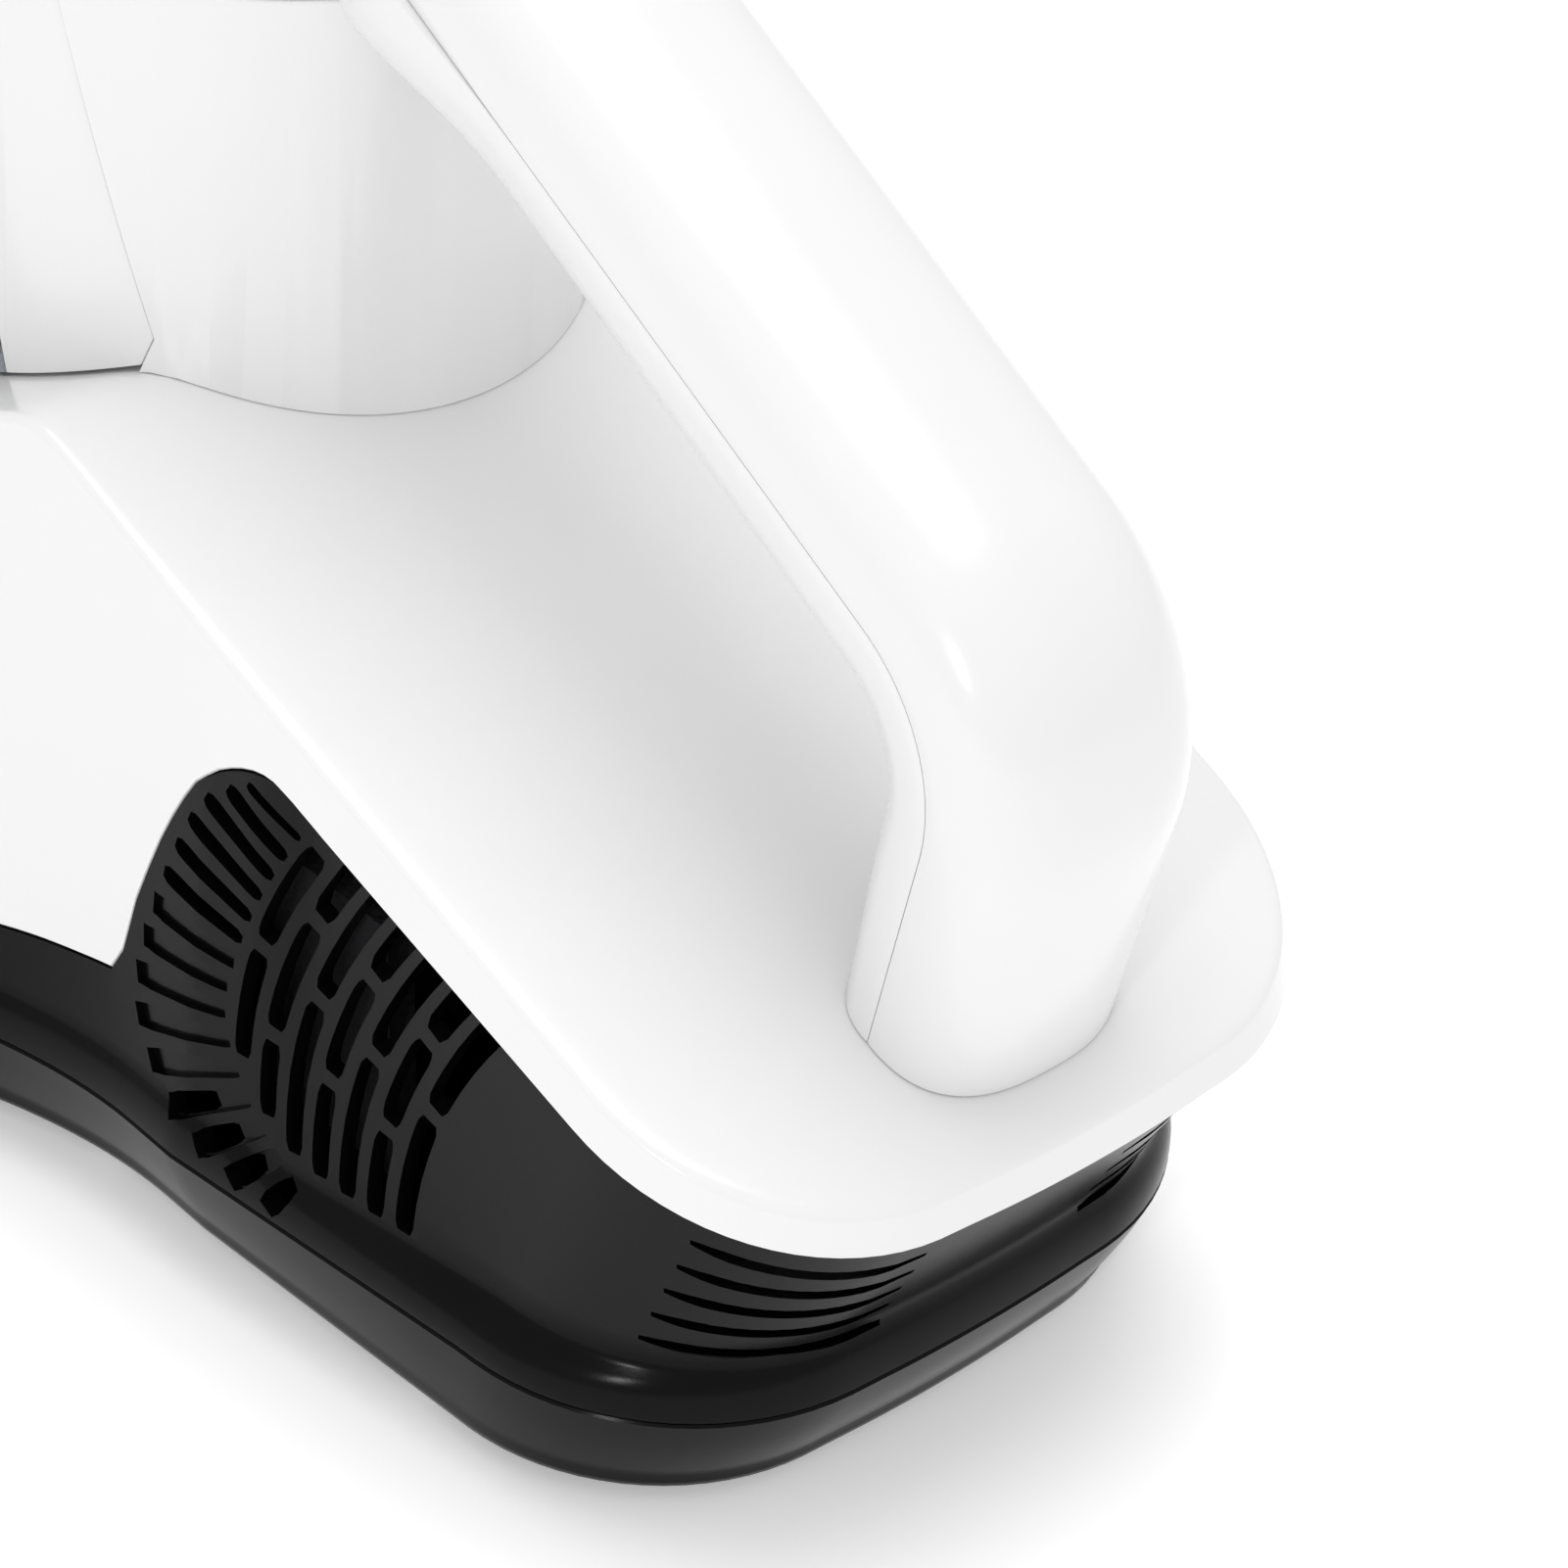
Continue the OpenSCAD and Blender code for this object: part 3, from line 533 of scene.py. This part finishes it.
def studio():
    """Pale floor, even white surroundings, a wide light overhead and a small key light."""
    corners = [(x * FLOOR_HALF, y * FLOOR_HALF) for x, y in ((-1, -1), (1, -1), (1, 1), (-1, 1))]
    floor = piece("floor", [Vector((x, y, FLOOR_LEVEL)) for x, y in corners], [(0, 1, 2, 3)])
    floor.data.materials.append(material("floor", (0.95, 0.95, 0.95), 0.9, grain=(30, 0.02),
                                         tint=0.002, Specular_IOR_Level=0.1, Emission_Strength=0.25,
                                         Emission_Color=(1, 1, 1, 1)))
    world = bpy.context.scene.world or bpy.data.worlds.new("world")
    bpy.context.scene.world = world
    world.use_nodes = True
    world.node_tree.nodes["Background"].inputs["Color"].default_value = (1, 1, 1, 1)
    world.node_tree.nodes["Background"].inputs["Strength"].default_value = WORLD_LIGHT
    soft_light("overhead", (-0.1, 0, 1.3), (0, 0.05, 0.05), 1.1, 8)
    soft_light("key", (0.9, 0.58, 0.46), (0.045, 0.165, 0.024), 0.1, 1.6)
    bpy.context.scene.view_settings.view_transform = "Standard"


studio()


# ---- Shells of the body ----
INLET_S = 172
INLET_OUT = Vector((0, -0.402, 0.916))
SEAL_HOLE_R = 15.2
SEAL_HOLE_BELOW = Vector((0, -0.40, 0.916)) * 0.006
CREASE_ROUND = 1.7
CREASE_ROUND_HEAD = 9


def build_cover():
    """White top cover: skirt, rounded crease and deck, with its wall and underside."""
    inner = CREASE.inset(4, 12).outline()
    rim = CREASE.inset(WALL, WALL + 3).outline()
    low_in, low_out = flank_ring(WALL, 0, 0), flank_ring(0, 0.35, 0)
    skin_top = [row(x, s, crease(s) - 0.5) for x, s in CREASE.outline()]
    rings = [draped_ring(inner, WALL), draped_ring(rim, WALL + 1.5), low_in,
             flank_ring(0.35, 0, 0), low_out, *between(low_out, skin_top, 7), skin_top]
    for a in (15, 30, 45, 60, 75, 90):
        c, q = 1 - math.cos(math.radians(a)), 1 - math.sin(math.radians(a))
        ring = []
        for x, s in CREASE.inset(CREASE_ROUND * c + 0.2 * (a == 90), CREASE_ROUND_HEAD * c).outline():
            ring.append(row(x, s, deck(s) - (deck(s) - crease(s) + 0.5) * q))
        rings.append(ring)
    rings.append(draped_ring(inner, 0))
    cover = loft("cover_shell", rings, ends="zip")
    carve(cover, rod("seal_hole", row(0, INLET_S, deck_line(INLET_S)) - SEAL_HOLE_BELOW, INLET_OUT,
                     12, SEAL_HOLE_R))
    return finished(cover, "white_gloss", "root", "top_cover")


def base_rings():
    low, mid = PARTING_PLAN.outline(), SHOULDER_PLAN.outline()
    roll = [(0.12, 0.01), (0.9, 0), (2.2, 0.04), (3.5, 0.14), (4.6, 0.31), (5.5, 0.53), (6.3, 0.76),
            (7.1, 0.93), (8.2, 1)]
    rings = [blend_ring(low, mid, f, PARTING + SEAM + up) for up, f in roll]
    rim = flank_ring(0.15, -0.3, LIP_TUCK)
    return rings + between(rings[-1], rim, 9) + [rim]


def wall_x(s, h):
    """Half width of the base's outer wall at a station and level, clear of the tail's corners."""
    low, mid = PARTING_PLAN.half_width(s), SHOULDER_PLAN.half_width(s)
    if h < SHOULDER:
        return mix(low, mid, ease((h - PARTING - 1.5) / (SHOULDER - PARTING - 1.5)))
    rim = edge(s)
    f = clip((crease(s) - rim) / (crease(s) - SHOULDER), 0, 1)
    w = skirt_share(s)
    top = mix(LIP.inset(LIP_TUCK, 0).half_width(s), mix(CREASE.half_width(s), mid, f), w)
    return mix(mid, top, clip((h - SHOULDER) / (rim - SHOULDER), 0, 1))


def strip_cutter(name, line, half_start, half_end, depth, side, blunt=0.35):
    """A slot with rounded ends along a line of (station, level) in the base's side wall."""
    total = sum(math.dist(a, b) for a, b in zip(line, line[1:]))
    marks = sorted({0.0, 0.06, 0.15, 0.3, 0.5, 0.7, 0.85, 0.94, 1.0})
    out, inn = [], []
    for t in marks:
        s, h, ds, dh = along(line, t)
        half = mix(half_start, half_end, t)
        reach = min(t, 1 - t) * total
        if reach < half:
            half *= max(blunt, math.sqrt(1 - (1 - reach / half) ** 2))
        ends = [(s - dh * half, h + ds * half), (s + dh * half, h - ds * half)]
        out.append([row(side * (wall_x(*p) + 3), *p) for p in ends])
        inn.append([row(side * (wall_x(*p) - depth), *p) for p in ends])
    rings = [[o[0], o[1], i[1], i[0]] for o, i in zip(out, inn)]
    return loft(name, rings, ends="fan")


def along(line, t):
    """Point and direction at share t of a line's length."""
    parts = [math.dist(a, b) for a, b in zip(line, line[1:])]
    left = t * sum(parts)
    for (a, b), d in zip(zip(line, line[1:]), parts):
        if left <= d + 1e-6:
            break
        left -= d
    f = clip(left / d, 0, 1)
    return mix(a[0], b[0], f), mix(a[1], b[1], f), (b[0] - a[0]) / d, (b[1] - a[1]) / d


def smooth_line(points, n, bias=1.0):
    """Catmull-Rom curve through points, at n places along it; a bias over 1 packs them early."""
    ends = [points[0]] + list(points) + [points[-1]]
    fine = []
    for p, q, r, e in zip(ends, ends[1:], ends[2:], ends[3:]):
        for k in range(12):
            t = k / 12
            fine.append(tuple(0.5 * (2 * b + (c - a) * t + (2 * a - 5 * b + 4 * c - d) * t ** 2
                                     + (3 * b - a - 3 * c + d) * t ** 3)
                              for a, b, c, d in zip(p, q, r, e)))
    fine.append(tuple(points[-1]))
    return [along(fine, (k / (n - 1)) ** bias)[:2] for k in range(n)]


THROUGH = 6
BLIND_DEPTH = 0.9
FAN_N = 15
FAN_OPEN = 6
FAN_BLIND = 11
FAN_MID = 0.45
FAN_BIAS = 1.14
FAN_INNER = [(84.2, 70.8), (88.9, 60.9), (92.6, 50), (94.2, 41.5), (92, 34), (87, 26.5), (80, 21.4)]
FAN_OUTER = [(92.8, 74.6), (100.4, 68.6), (105.3, 58.8), (109, 47), (111, 37), (109.4, 27.5),
             (102.4, 21.2), (92, 17.7), (82.8, 16.6)]
GRID_COLUMNS = 7
GRID_RIB = 2.3
GRID_TOP = 70.2
GRID_BOTTOMS = [35.2, 28.5, 25.2, 24.1, 23.7, 23.4, 23.4]
GRID_LEVEL = 40
GRID_FRONT = 90.6
GRID_PITCH = 4.57
GRID_SPREAD = 0.073
GRID_LEAN = 0.049
GRID_BOW = 0.00856
GRID_CROWD = 0.039
GRID_STEPS = 8


def fan_cutters(side):
    """Slots that fan out along the arch: open at the top, blind in the middle, half open below."""
    inner, outer = smooth_line(FAN_INNER, FAN_N), smooth_line(FAN_OUTER, FAN_N, FAN_BIAS)
    blind, cutters = [], []
    for i, (a, b) in enumerate(zip(inner, outer)):
        name = f"fan_{i}"
        last = i == FAN_N - 1
        if i < FAN_OPEN:
            widths = (1.05, 1.45) if i else (0.6, 0.8)
            cutters.append(strip_cutter(name, [a, b], *widths, THROUGH, side, 0.55))
            continue
        if not last:
            blind.append(strip_cutter(name, [a, b], 1.25, 1.95, BLIND_DEPTH, side, 0.85))
        if i >= FAN_BLIND:
            start = a if last else (mix(a[0], b[0], FAN_MID), mix(a[1], b[1], FAN_MID))
            cutters.append(strip_cutter(name, [start, b], 1.4, 1.85, THROUGH, side, 0.75))
    return blind, cutters


def grid_station(k, h):
    """Station of the grid's column k at a level; the columns bow, and crowd together downwards."""
    g = h - GRID_LEVEL
    return (GRID_FRONT - GRID_PITCH * k - GRID_SPREAD * k ** 2 - GRID_LEAN * g - GRID_BOW * g ** 2
            - GRID_CROWD * k * g)


def grid_cutters(side):
    """Staggered curved slots in columns that crowd together towards the bottom."""
    cutters = []
    for k in range(GRID_COLUMNS):
        top = GRID_TOP
        for _ in range(4 if k else 0):
            top = edge(grid_station(k, top)) - 0.5
        ribs = [52.9 - 1.5 * k] if k % 2 == 0 else [62.1 - 1.5 * k, 41.8 - 0.85 * k]
        stops = [top] + [r + e for r in ribs for e in (GRID_RIB / 2, -GRID_RIB / 2)] + [GRID_BOTTOMS[k]]
        for hi, lo in zip(stops[::2], stops[1::2]):
            levels = [mix(hi, lo, j / GRID_STEPS) for j in range(GRID_STEPS + 1)]
            line = [(grid_station(k, h), h) for h in levels]
            widths = [1.4 + 0.0105 * (h - GRID_LEVEL) + 0.04 * k for h in (hi, lo)]
            cutters.append(strip_cutter(f"grid_{k}", line, *widths, THROUGH, side, 0.7))
    return cutters


LOUVRES = 5
LOUVRE_HALF = 0.95
LOUVRE_FROM = 7
LOUVRE_TO = 19
LOUVRE_AT_SIDE = (26.8, 5.3)
LOUVRE_AT_MIDDLE = (22.6, 4.1)
LOUVRE_TAPER = (0.45, 0.8, 1)
LOUVRE_DEPTH = 5
LOUVRE_PROUD = 3
TAIL_RIM_S = 20


def louvre_cutters(side):
    """Slots round a rear corner that close up and sink towards the middle of the tail."""
    low, top = SHOULDER_PLAN.outline(), LIP.inset(LIP_TUCK, 0).outline()
    (side_low, side_pitch), (mid_low, mid_pitch) = LOUVRE_AT_SIDE, LOUVRE_AT_MIDDLE
    cutters = []
    for j in range(LOUVRES):
        ring = []
        for i in range(LOUVRE_FROM, LOUVRE_TO + 1):
            u = (LOUVRE_TO - i) / (LOUVRE_TO - LOUVRE_FROM)
            h = mix(side_low + side_pitch * j, mid_low + mid_pitch * j, u)
            f = (h - SHOULDER) / (edge(TAIL_RIM_S) - SHOULDER)
            ring.append((mix(low[i][0], top[i][0], f), mix(low[i][1], top[i][1], f), h))
        rings = []
        for i, (x, s, h) in enumerate(ring):
            p, q = ring[max(i - 1, 0)], ring[min(i + 1, len(ring) - 1)]
            n = Vector((q[1] - p[1], -(q[0] - p[0]))).normalized()
            reach = min(i, len(ring) - 1 - i)
            half = LOUVRE_HALF * LOUVRE_TAPER[min(reach, 2)]
            out = (x + n.x * LOUVRE_PROUD, s + n.y * LOUVRE_PROUD)
            inn = (x - n.x * LOUVRE_DEPTH, s - n.y * LOUVRE_DEPTH)
            rings.append([row(side * out[0], out[1], h - half), row(side * out[0], out[1], h + half),
                          row(side * inn[0], inn[1], h + half), row(side * inn[0], inn[1], h - half)])
        cutters.append(loft(f"louvre_{j}", rings, ends="fan"))
    return cutters


JACK_AT = (-70, 66, 44)
JACK_R = 5.6


def build_base():
    """Black base with its side vents, corner louvres and charging socket's hole."""
    outer = base_rings()
    inner = [flank_ring(WALL, -0.3, LIP_TUCK),
             level_ring(SHOULDER_PLAN.inset(WALL).outline(), SHOULDER),
             level_ring(PARTING_PLAN.inset(WALL).outline(), PARTING + SEAM)]
    base = loft("base_shell", outer + inner, wrap=True)
    blind, cutters = [], []
    for side in (1, -1):
        shallow, deep = fan_cutters(side)
        blind += shallow
        cutters += deep + grid_cutters(side) + louvre_cutters(side)
    carve(base, joined("blind_vents", blind), overlaps=True)
    carve(base, joined("vents", cutters), overlaps=True)
    carve(base, rod("jack_hole", row(*JACK_AT), (1, 0, 0), 30, JACK_R))
    return finished(base, "black_satin", "root", "base_housing")


WHEELS = [(40, 50), (84, 319)]
SCREWS = [(47.6, 62), (51.8, 123), (111, 250), (112.6, 310)]
LAMP_S = 272
PLUNGER_S = 226


def build_tray():
    """Black tray under the parting line, open for roller, lamp, wheels, screws and plunger."""
    low, top = LOWER_PLAN.outline(), PARTING_PLAN.outline()
    rings = [level_ring(LOWER_PLAN.inset(2.4).outline(), -1.2)]
    for d, h in ((1.2, -0.9), (0.5, -0.3), (0.12, 0.7), (0, 1.8)):
        rings.append(level_ring(LOWER_PLAN.inset(d).outline(), h))
    for k in range(1, 8):
        f = k / 8
        rings.append(blend_ring(low, top, f + 0.06 * math.sin(math.pi * f), mix(1.8, PARTING - 0.5, f)))
    rings.append(level_ring(top, PARTING - 0.5))
    rings.append(level_ring(PARTING_PLAN.inset(0.25).outline(), PARTING - SEAM))
    rings.append(level_ring(PARTING_PLAN.inset(WALL).outline(), PARTING - SEAM))
    rings.append(level_ring(LOWER_PLAN.inset(WALL + 1).outline(), 1.4))
    tray = loft("tray_shell", rings, ends="zip")
    holes = [block("mouth", row(0, BRUSH_S, 0), (196, 40, 20)),
             block("lamp_gap", row(0, LAMP_S, 0), (124, 18, 20))]
    for side in (1, -1):
        for x, s in WHEELS:
            holes.append(block("wheel_gap", row(side * x, s, 0), (9.6, 19.6, 20)))
        for x, s in SCREWS:
            holes.append(rod("screw_hole", row(side * x, s, -5), (0, 0, 1), 5.2, 3.2))
    holes.append(rod("plunger_hole", row(0, PLUNGER_S, -5), (0, 0, 1), 10, 4.3))
    carve(tray, joined("tray_holes", holes))
    return finished(tray, "black_satin", "root", "bottom_plate")


# ---- Loop handle ----
GRIP_HW = 18.5
GRIP_HT = 13.5
GRIP_RISE = 27.5
GRIP_BEND = 23.6
GRIP_LEN = 118.0
LEAN = 9.85
ROUNDNESS = 2.62
FOOT = (22.9, 57.0)
LEG_LEN = 35.6
FOOT_NARROW = 0.5
FOOT_THIN = 3.9
ROOT_FROM = 92.0
ROOT_TO = 124.0
ROOT_WIDE = 2
ROOT_DEEP = 2.6
ROOT_SQUARE = 1.2
SHELL_GAP = 0.07


def handle_path():
    """Stations along the handle: (station, level, heading in degrees, closeness to the foot)."""
    turn = 90 + LEAN
    c, s = math.cos(math.radians(turn)), math.sin(math.radians(turn))
    leg = (FOOT[0] + LEG_LEN * c, FOOT[1] + LEG_LEN * s)
    centre = (leg[0] + GRIP_BEND * s, leg[1] - GRIP_BEND * c)
    path = [(mix(FOOT[0], leg[0], j / 10), mix(FOOT[1], leg[1], j / 10), turn, 1 - j / 20)
            for j in range(10)]
    for j in range(24):
        a = mix(turn, GRIP_RISE, j / 24)
        r = math.radians(a)
        path.append((centre[0] - GRIP_BEND * math.sin(r), centre[1] + GRIP_BEND * math.cos(r), a,
                     0.5 - j / 48))
    r = math.radians(GRIP_RISE)
    start = (centre[0] - GRIP_BEND * math.sin(r), centre[1] + GRIP_BEND * math.cos(r))
    for j in range(31):
        d = GRIP_LEN * j / 30
        path.append((start[0] + d * math.cos(r), start[1] + d * math.sin(r), GRIP_RISE, 0))
    return path


def section(q, angle, d, flare):
    """Half width and height of the handle's section at an angle, d inside its skin."""
    c, s = math.cos(math.radians(angle)), math.sin(math.radians(angle))
    hw = GRIP_HW - FOOT_NARROW * q[3] ** 2 - d + ROOT_WIDE * flare
    ht = GRIP_HT - (FOOT_THIN * q[3] ** 2 if s < 0 else 0) - d + ROOT_DEEP * flare
    power = 2 / (ROUNDNESS + ROOT_SQUARE * flare)
    return (hw * math.copysign(abs(c) ** power, c), ht * math.copysign(abs(s) ** power, s))


def handle_point(q, u, v):
    """A point of the section at q, u across and v out from the handle's line."""
    a = math.radians(q[2])
    return row(u, q[0] - v * math.sin(a), q[1] + v * math.cos(a))


def build_handle_half(name, up, node):
    """One shell of the handle: up is 1 for the outer shell and -1 for the inner one."""
    rings = []
    steps = [0, 2, 4, 7] + list(range(10, 171, 5)) + [173, 176, 178, 180]
    for q in handle_path():
        swells = up < 0 and q[2] < 60
        flare = ease((q[0] - ROOT_FROM) / (ROOT_TO - ROOT_FROM)) if swells else 0
        ring = []
        for d, order in ((0, steps), (WALL, steps[::-1])):
            for a in order:
                u, v = section(q, 180 - a if up > 0 else -a, d, flare)
                if abs(v) < SHELL_GAP:
                    v = up * SHELL_GAP
                    u -= math.copysign(0.1 if d == 0 else 0, u)
                ring.append(handle_point(q, u, v))
        rings.append(ring)
    shell = loft(name, rings, ends="fan", sharp=38)
    carve(shell, below_deck(0.25))
    return finished(shell, "white_gloss", "root", node)


def below_deck(gap):
    """A cutter for all that lies under the deck and a gap above it."""
    line = [(-20, 20), (-20, deck(0) + gap)] + [(s, deck(s) + gap) for s in range(0, 262, 3)]
    return side_prism("below_deck", line + [(262, 20)], 90)


# ---- Barrel, cap and dust cup ----
FACE_S = 139.5
FACE_Z = 115.0
NOTCH = [(137.6, 108.3), (139.4, 103.2)]
FILTER_Z = 134.0
PORT_R = 17.0
RELEASE_Z = 178.0
RELEASE_S = 170.5
RELEASE_HALF = 7
RELEASE_R = 4.3
BUTTON_S = 141.0
BUTTON_X = 9.0
DISPLAY_S = 153.0
INLET_LONG = 14
SEAL_RECESS = (1.6, 15.3)
TUBE_BORE = (7, 13)
TILT = math.radians(CUP_LEAN)
OUT = Vector((0, -math.cos(TILT), -math.sin(TILT)))


def face_at(h):
    """Station of the joint face at a level."""
    return FACE_S + (h - FACE_Z) * math.tan(TILT)


def on_face(h, out):
    """A point in front of the joint face at a level, in the frame's metres."""
    return row(0, face_at(h), h) + OUT * out * MM


def joint_outline(shift, far):
    """Side outline of all that lies beyond the joint face, shifted along the stations."""
    line = [(face_at(230) + shift, 230), (face_at(NOTCH[0][1]) + shift, NOTCH[0][1]),
            (NOTCH[1][0] + shift, NOTCH[1][1]), (NOTCH[1][0] + shift, 60)]
    return line + [(far, 60), (far, 230)]


def barrel_profile(r, lo, hi, low_round, high_round):
    """Profile (radius, level) of a disc-ended cylinder with rounded rims."""
    points = [(0.5, lo)]
    for a in range(-90, 1, 15):
        c, s = math.cos(math.radians(a)), math.sin(math.radians(a))
        points.append((r - low_round * (1 - c), lo + low_round * (1 + s)))
    for a in range(0, 91, 6):
        c, s = math.cos(math.radians(a)), math.sin(math.radians(a))
        points.append((r - high_round * (1 - c), hi - high_round * (1 - s)))
    return points + [(0.5, hi)]


def build_barrel():
    """Upright barrel behind the dust cup."""
    outer = barrel_profile(BARREL_R, 80, CAP_SEAM - SEAM, 0.1, 0.4)
    barrel = turned("barrel_shell", outer, BARREL_S)
    carve(barrel, side_prism("face", joint_outline(-SEAM, 60), 60), "INTERSECT")
    carve(barrel, below_deck(0.2))
    inner = turned("inner", barrel_profile(BARREL_R - WALL, 70, CAP_SEAM + 5, 0.1, 0.1), BARREL_S)
    carve(inner, side_prism("face", joint_outline(-WALL - SEAM, 60), 60), "INTERSECT")
    carve(barrel, inner)
    carve(barrel, rod("port", on_face(FILTER_Z, -10), OUT, 20, PORT_R))
    soften(barrel, 0.3)
    return finished(barrel, "white_gloss", "root", "barrel_housing")


def build_cap():
    """Domed cap over the barrel with the handle's root, the buttons and the display."""
    cap = turned("cap_shell", barrel_profile(BARREL_R, CAP_SEAM + SEAM, CAP_TOP, 1.5, 14), BARREL_S)
    carve(cap, side_prism("face", joint_outline(-SEAM, 60), 60), "INTERSECT")
    hollow = barrel_profile(BARREL_R - WALL, CAP_SEAM - 5, CAP_TOP - WALL, 0.1, 12)
    inner = turned("inner", hollow, BARREL_S)
    carve(inner, side_prism("face", joint_outline(-WALL - SEAM, 60), 60), "INTERSECT")
    carve(cap, inner)
    path = [q for q in handle_path() if q[2] == GRIP_RISE and q[0] > 90]
    bore = [[handle_point(q, *section(q, -a, -0.2, 0)) for a in range(0, 360, 6)] for q in path]
    carve(cap, loft("bore", bore, ends="fan"))
    holes = [rod("button_hole", row(x, BUTTON_S, CAP_TOP - 10), (0, 0, 1), 20, 5.3)
             for x in (-BUTTON_X, BUTTON_X)]
    holes.append(block("display_gap", row(0, DISPLAY_S, CAP_TOP), (16.4, 8.4, 3)))
    carve(cap, joined("cap_holes", holes))
    carve(cap, tongue_slot())
    soften(cap, 0.3)
    return finished(cap, "white_gloss", "root", "handle_cap")


def tongue_slot():
    """A cutter for the catch tongue's way through the joint face."""
    return block("tongue_slot", on_face(RELEASE_Z, 0) + Vector((0, 0, -MM)), (5, 12, 5.4), CUP_LEAN)


def cup_solid(d):
    """The dust cup's outer form, d inside its skin."""
    outer = barrel_profile(BARREL_R - CUP_STEP - d, 60, CUP_TOP - d, 0.1, 12 - 0.6 * d)
    cup = turned("cup", outer, BARREL_S)
    carve(cup, side_prism("face", joint_outline(0.25 + d, 300), 60), "INTERSECT")
    above = [(100, deck_line(100) + CUP_GAP + d), (100, 230), (260, 230),
             (260, deck_line(260) + CUP_GAP + d)]
    return carve(cup, side_prism("above", above, 80), "INTERSECT")


def split_block(ahead, shift):
    """A block ahead of or behind the plane that parts collar and bowl."""
    far = 300 if ahead else 60
    return side_prism("split", [(face_at(230) + shift, 230), (face_at(60) + shift, 60), (far, 60),
                                (far, 230)], 80)


def inlet_bore(top, r):
    """A round cutter on the axis of the deck's inlet, ending at a height above the deck."""
    start = row(0, INLET_S, deck_line(INLET_S)) + INLET_OUT * (top - INLET_LONG) * MM
    return rod("inlet", start, INLET_OUT, INLET_LONG, r)


def release_hole():
    """A pill-shaped cutter for the release button's hole in the collar's top."""
    pill = [row(RELEASE_HALF * c + RELEASE_R * math.cos(t), RELEASE_S + RELEASE_R * math.sin(t), 0)
            for c, lo in ((1, -90), (-1, 90)) for t in (math.radians(lo + 15 * k) for k in range(13))]
    rise = Vector((0, 0, 1)) * MM
    rings = [[p + rise * h for p in pill] for h in (CUP_TOP - 10, CUP_TOP + 10)]
    return loft("pill", rings, ends="fan")


def build_cup():
    """White collar that meets the barrel and smoked bowl in front of it."""
    collar = carve(cup_solid(0), split_block(False, CUP_SPLIT), "INTERSECT")
    carve(collar, carve(cup_solid(WALL), split_block(False, CUP_SPLIT + 10), "INTERSECT"))
    carve(collar, rod("port", on_face(FILTER_Z, -1), OUT, 10, PORT_R))
    carve(collar, tongue_slot())
    carve(collar, release_hole())
    carve(collar, inlet_bore(*SEAL_RECESS))
    soften(collar, 0.35)
    collar.name = "collar_shell"
    finished(collar, "white_gloss", "dust_cup", "cup_collar")
    bowl = carve(cup_solid(0), split_block(True, CUP_SPLIT + 0.1), "INTERSECT")
    carve(bowl, carve(cup_solid(WALL), split_block(True, CUP_SPLIT - 10), "INTERSECT"))
    carve(bowl, inlet_bore(*TUBE_BORE))
    carve(bowl, inlet_bore(*SEAL_RECESS))
    soften(bowl, 0.35)
    bowl.name = "bowl_shell"
    finished(bowl, "smoked_clear", "dust_cup", "cup_bowl")


# ---- Brush roller's bristles ----
BRUSH_LEVEL = 15.0
CORE_R = 12.0
BRUSH_R = 17.8
BRUSH_HALF = 92.0
TUFT_ROWS = 4
TUFTS = 62
TUFT_TWIST = 80.0
HAIRS = 5
HAIR_STEP = 4
HAIR_ROOT = 0.42
HAIR_TIP = 0.2


def build_bristles():
    """Rows of nylon tufts that wind round the roller's core."""
    points, faces = [], []
    for r in range(TUFT_ROWS):
        for t in range(TUFTS):
            f = t / (TUFTS - 1)
            x0 = mix(-BRUSH_HALF, BRUSH_HALF, f)
            for k in range(HAIRS):
                swing = 90 * r + TUFT_TWIST * abs(2 * f - 1) + HAIR_STEP * (k - 2)
                spread = math.sin(2.4 * k + 1.7 * t)
                a = math.radians(swing)
                tip = math.radians(swing + 1.5 * (k - 2))
                root = len(points)
                for radius, width, ang, dx in ((CORE_R - 0.4, HAIR_ROOT, a, 0),
                                               (BRUSH_R, HAIR_TIP, tip, spread)):
                    cy, cz = radius * math.sin(ang), radius * math.cos(ang)
                    for px, py in ((-1, -1), (1, -1), (1, 1), (-1, 1)):
                        points.append(row(x0 + dx * 0.5 + px * width,
                                          BRUSH_S + cy + py * width * math.cos(ang),
                                          BRUSH_LEVEL + cz - py * width * math.sin(ang)))
                faces += [(root, root + 3, root + 2, root + 1), (root + 4, root + 5, root + 6, root + 7)]
                faces += [(root + i, root + (i + 1) % 4, root + 4 + (i + 1) % 4, root + 4 + i)
                          for i in range(4)]
    tufts = piece("bristle_tufts", points, faces)
    return finished(tufts, "bristle", "roller", "brush_bristles")


def dress_cad_nodes():
    """Materials for the CAD nodes that show as they are."""
    slots = {s["node"]: s["material_slot"] for s in frame["record"]["subparts"]}
    for name, obj in frame["nodes"].items():
        dress(obj, slots[name])


dress_cad_nodes()
build_cover()
build_base()
build_tray()
build_handle_half("grip_upper", 1, "handle_upper")
build_handle_half("grip_lower", -1, "handle_lower")
build_barrel()
build_cap()
build_cup()
build_bristles()
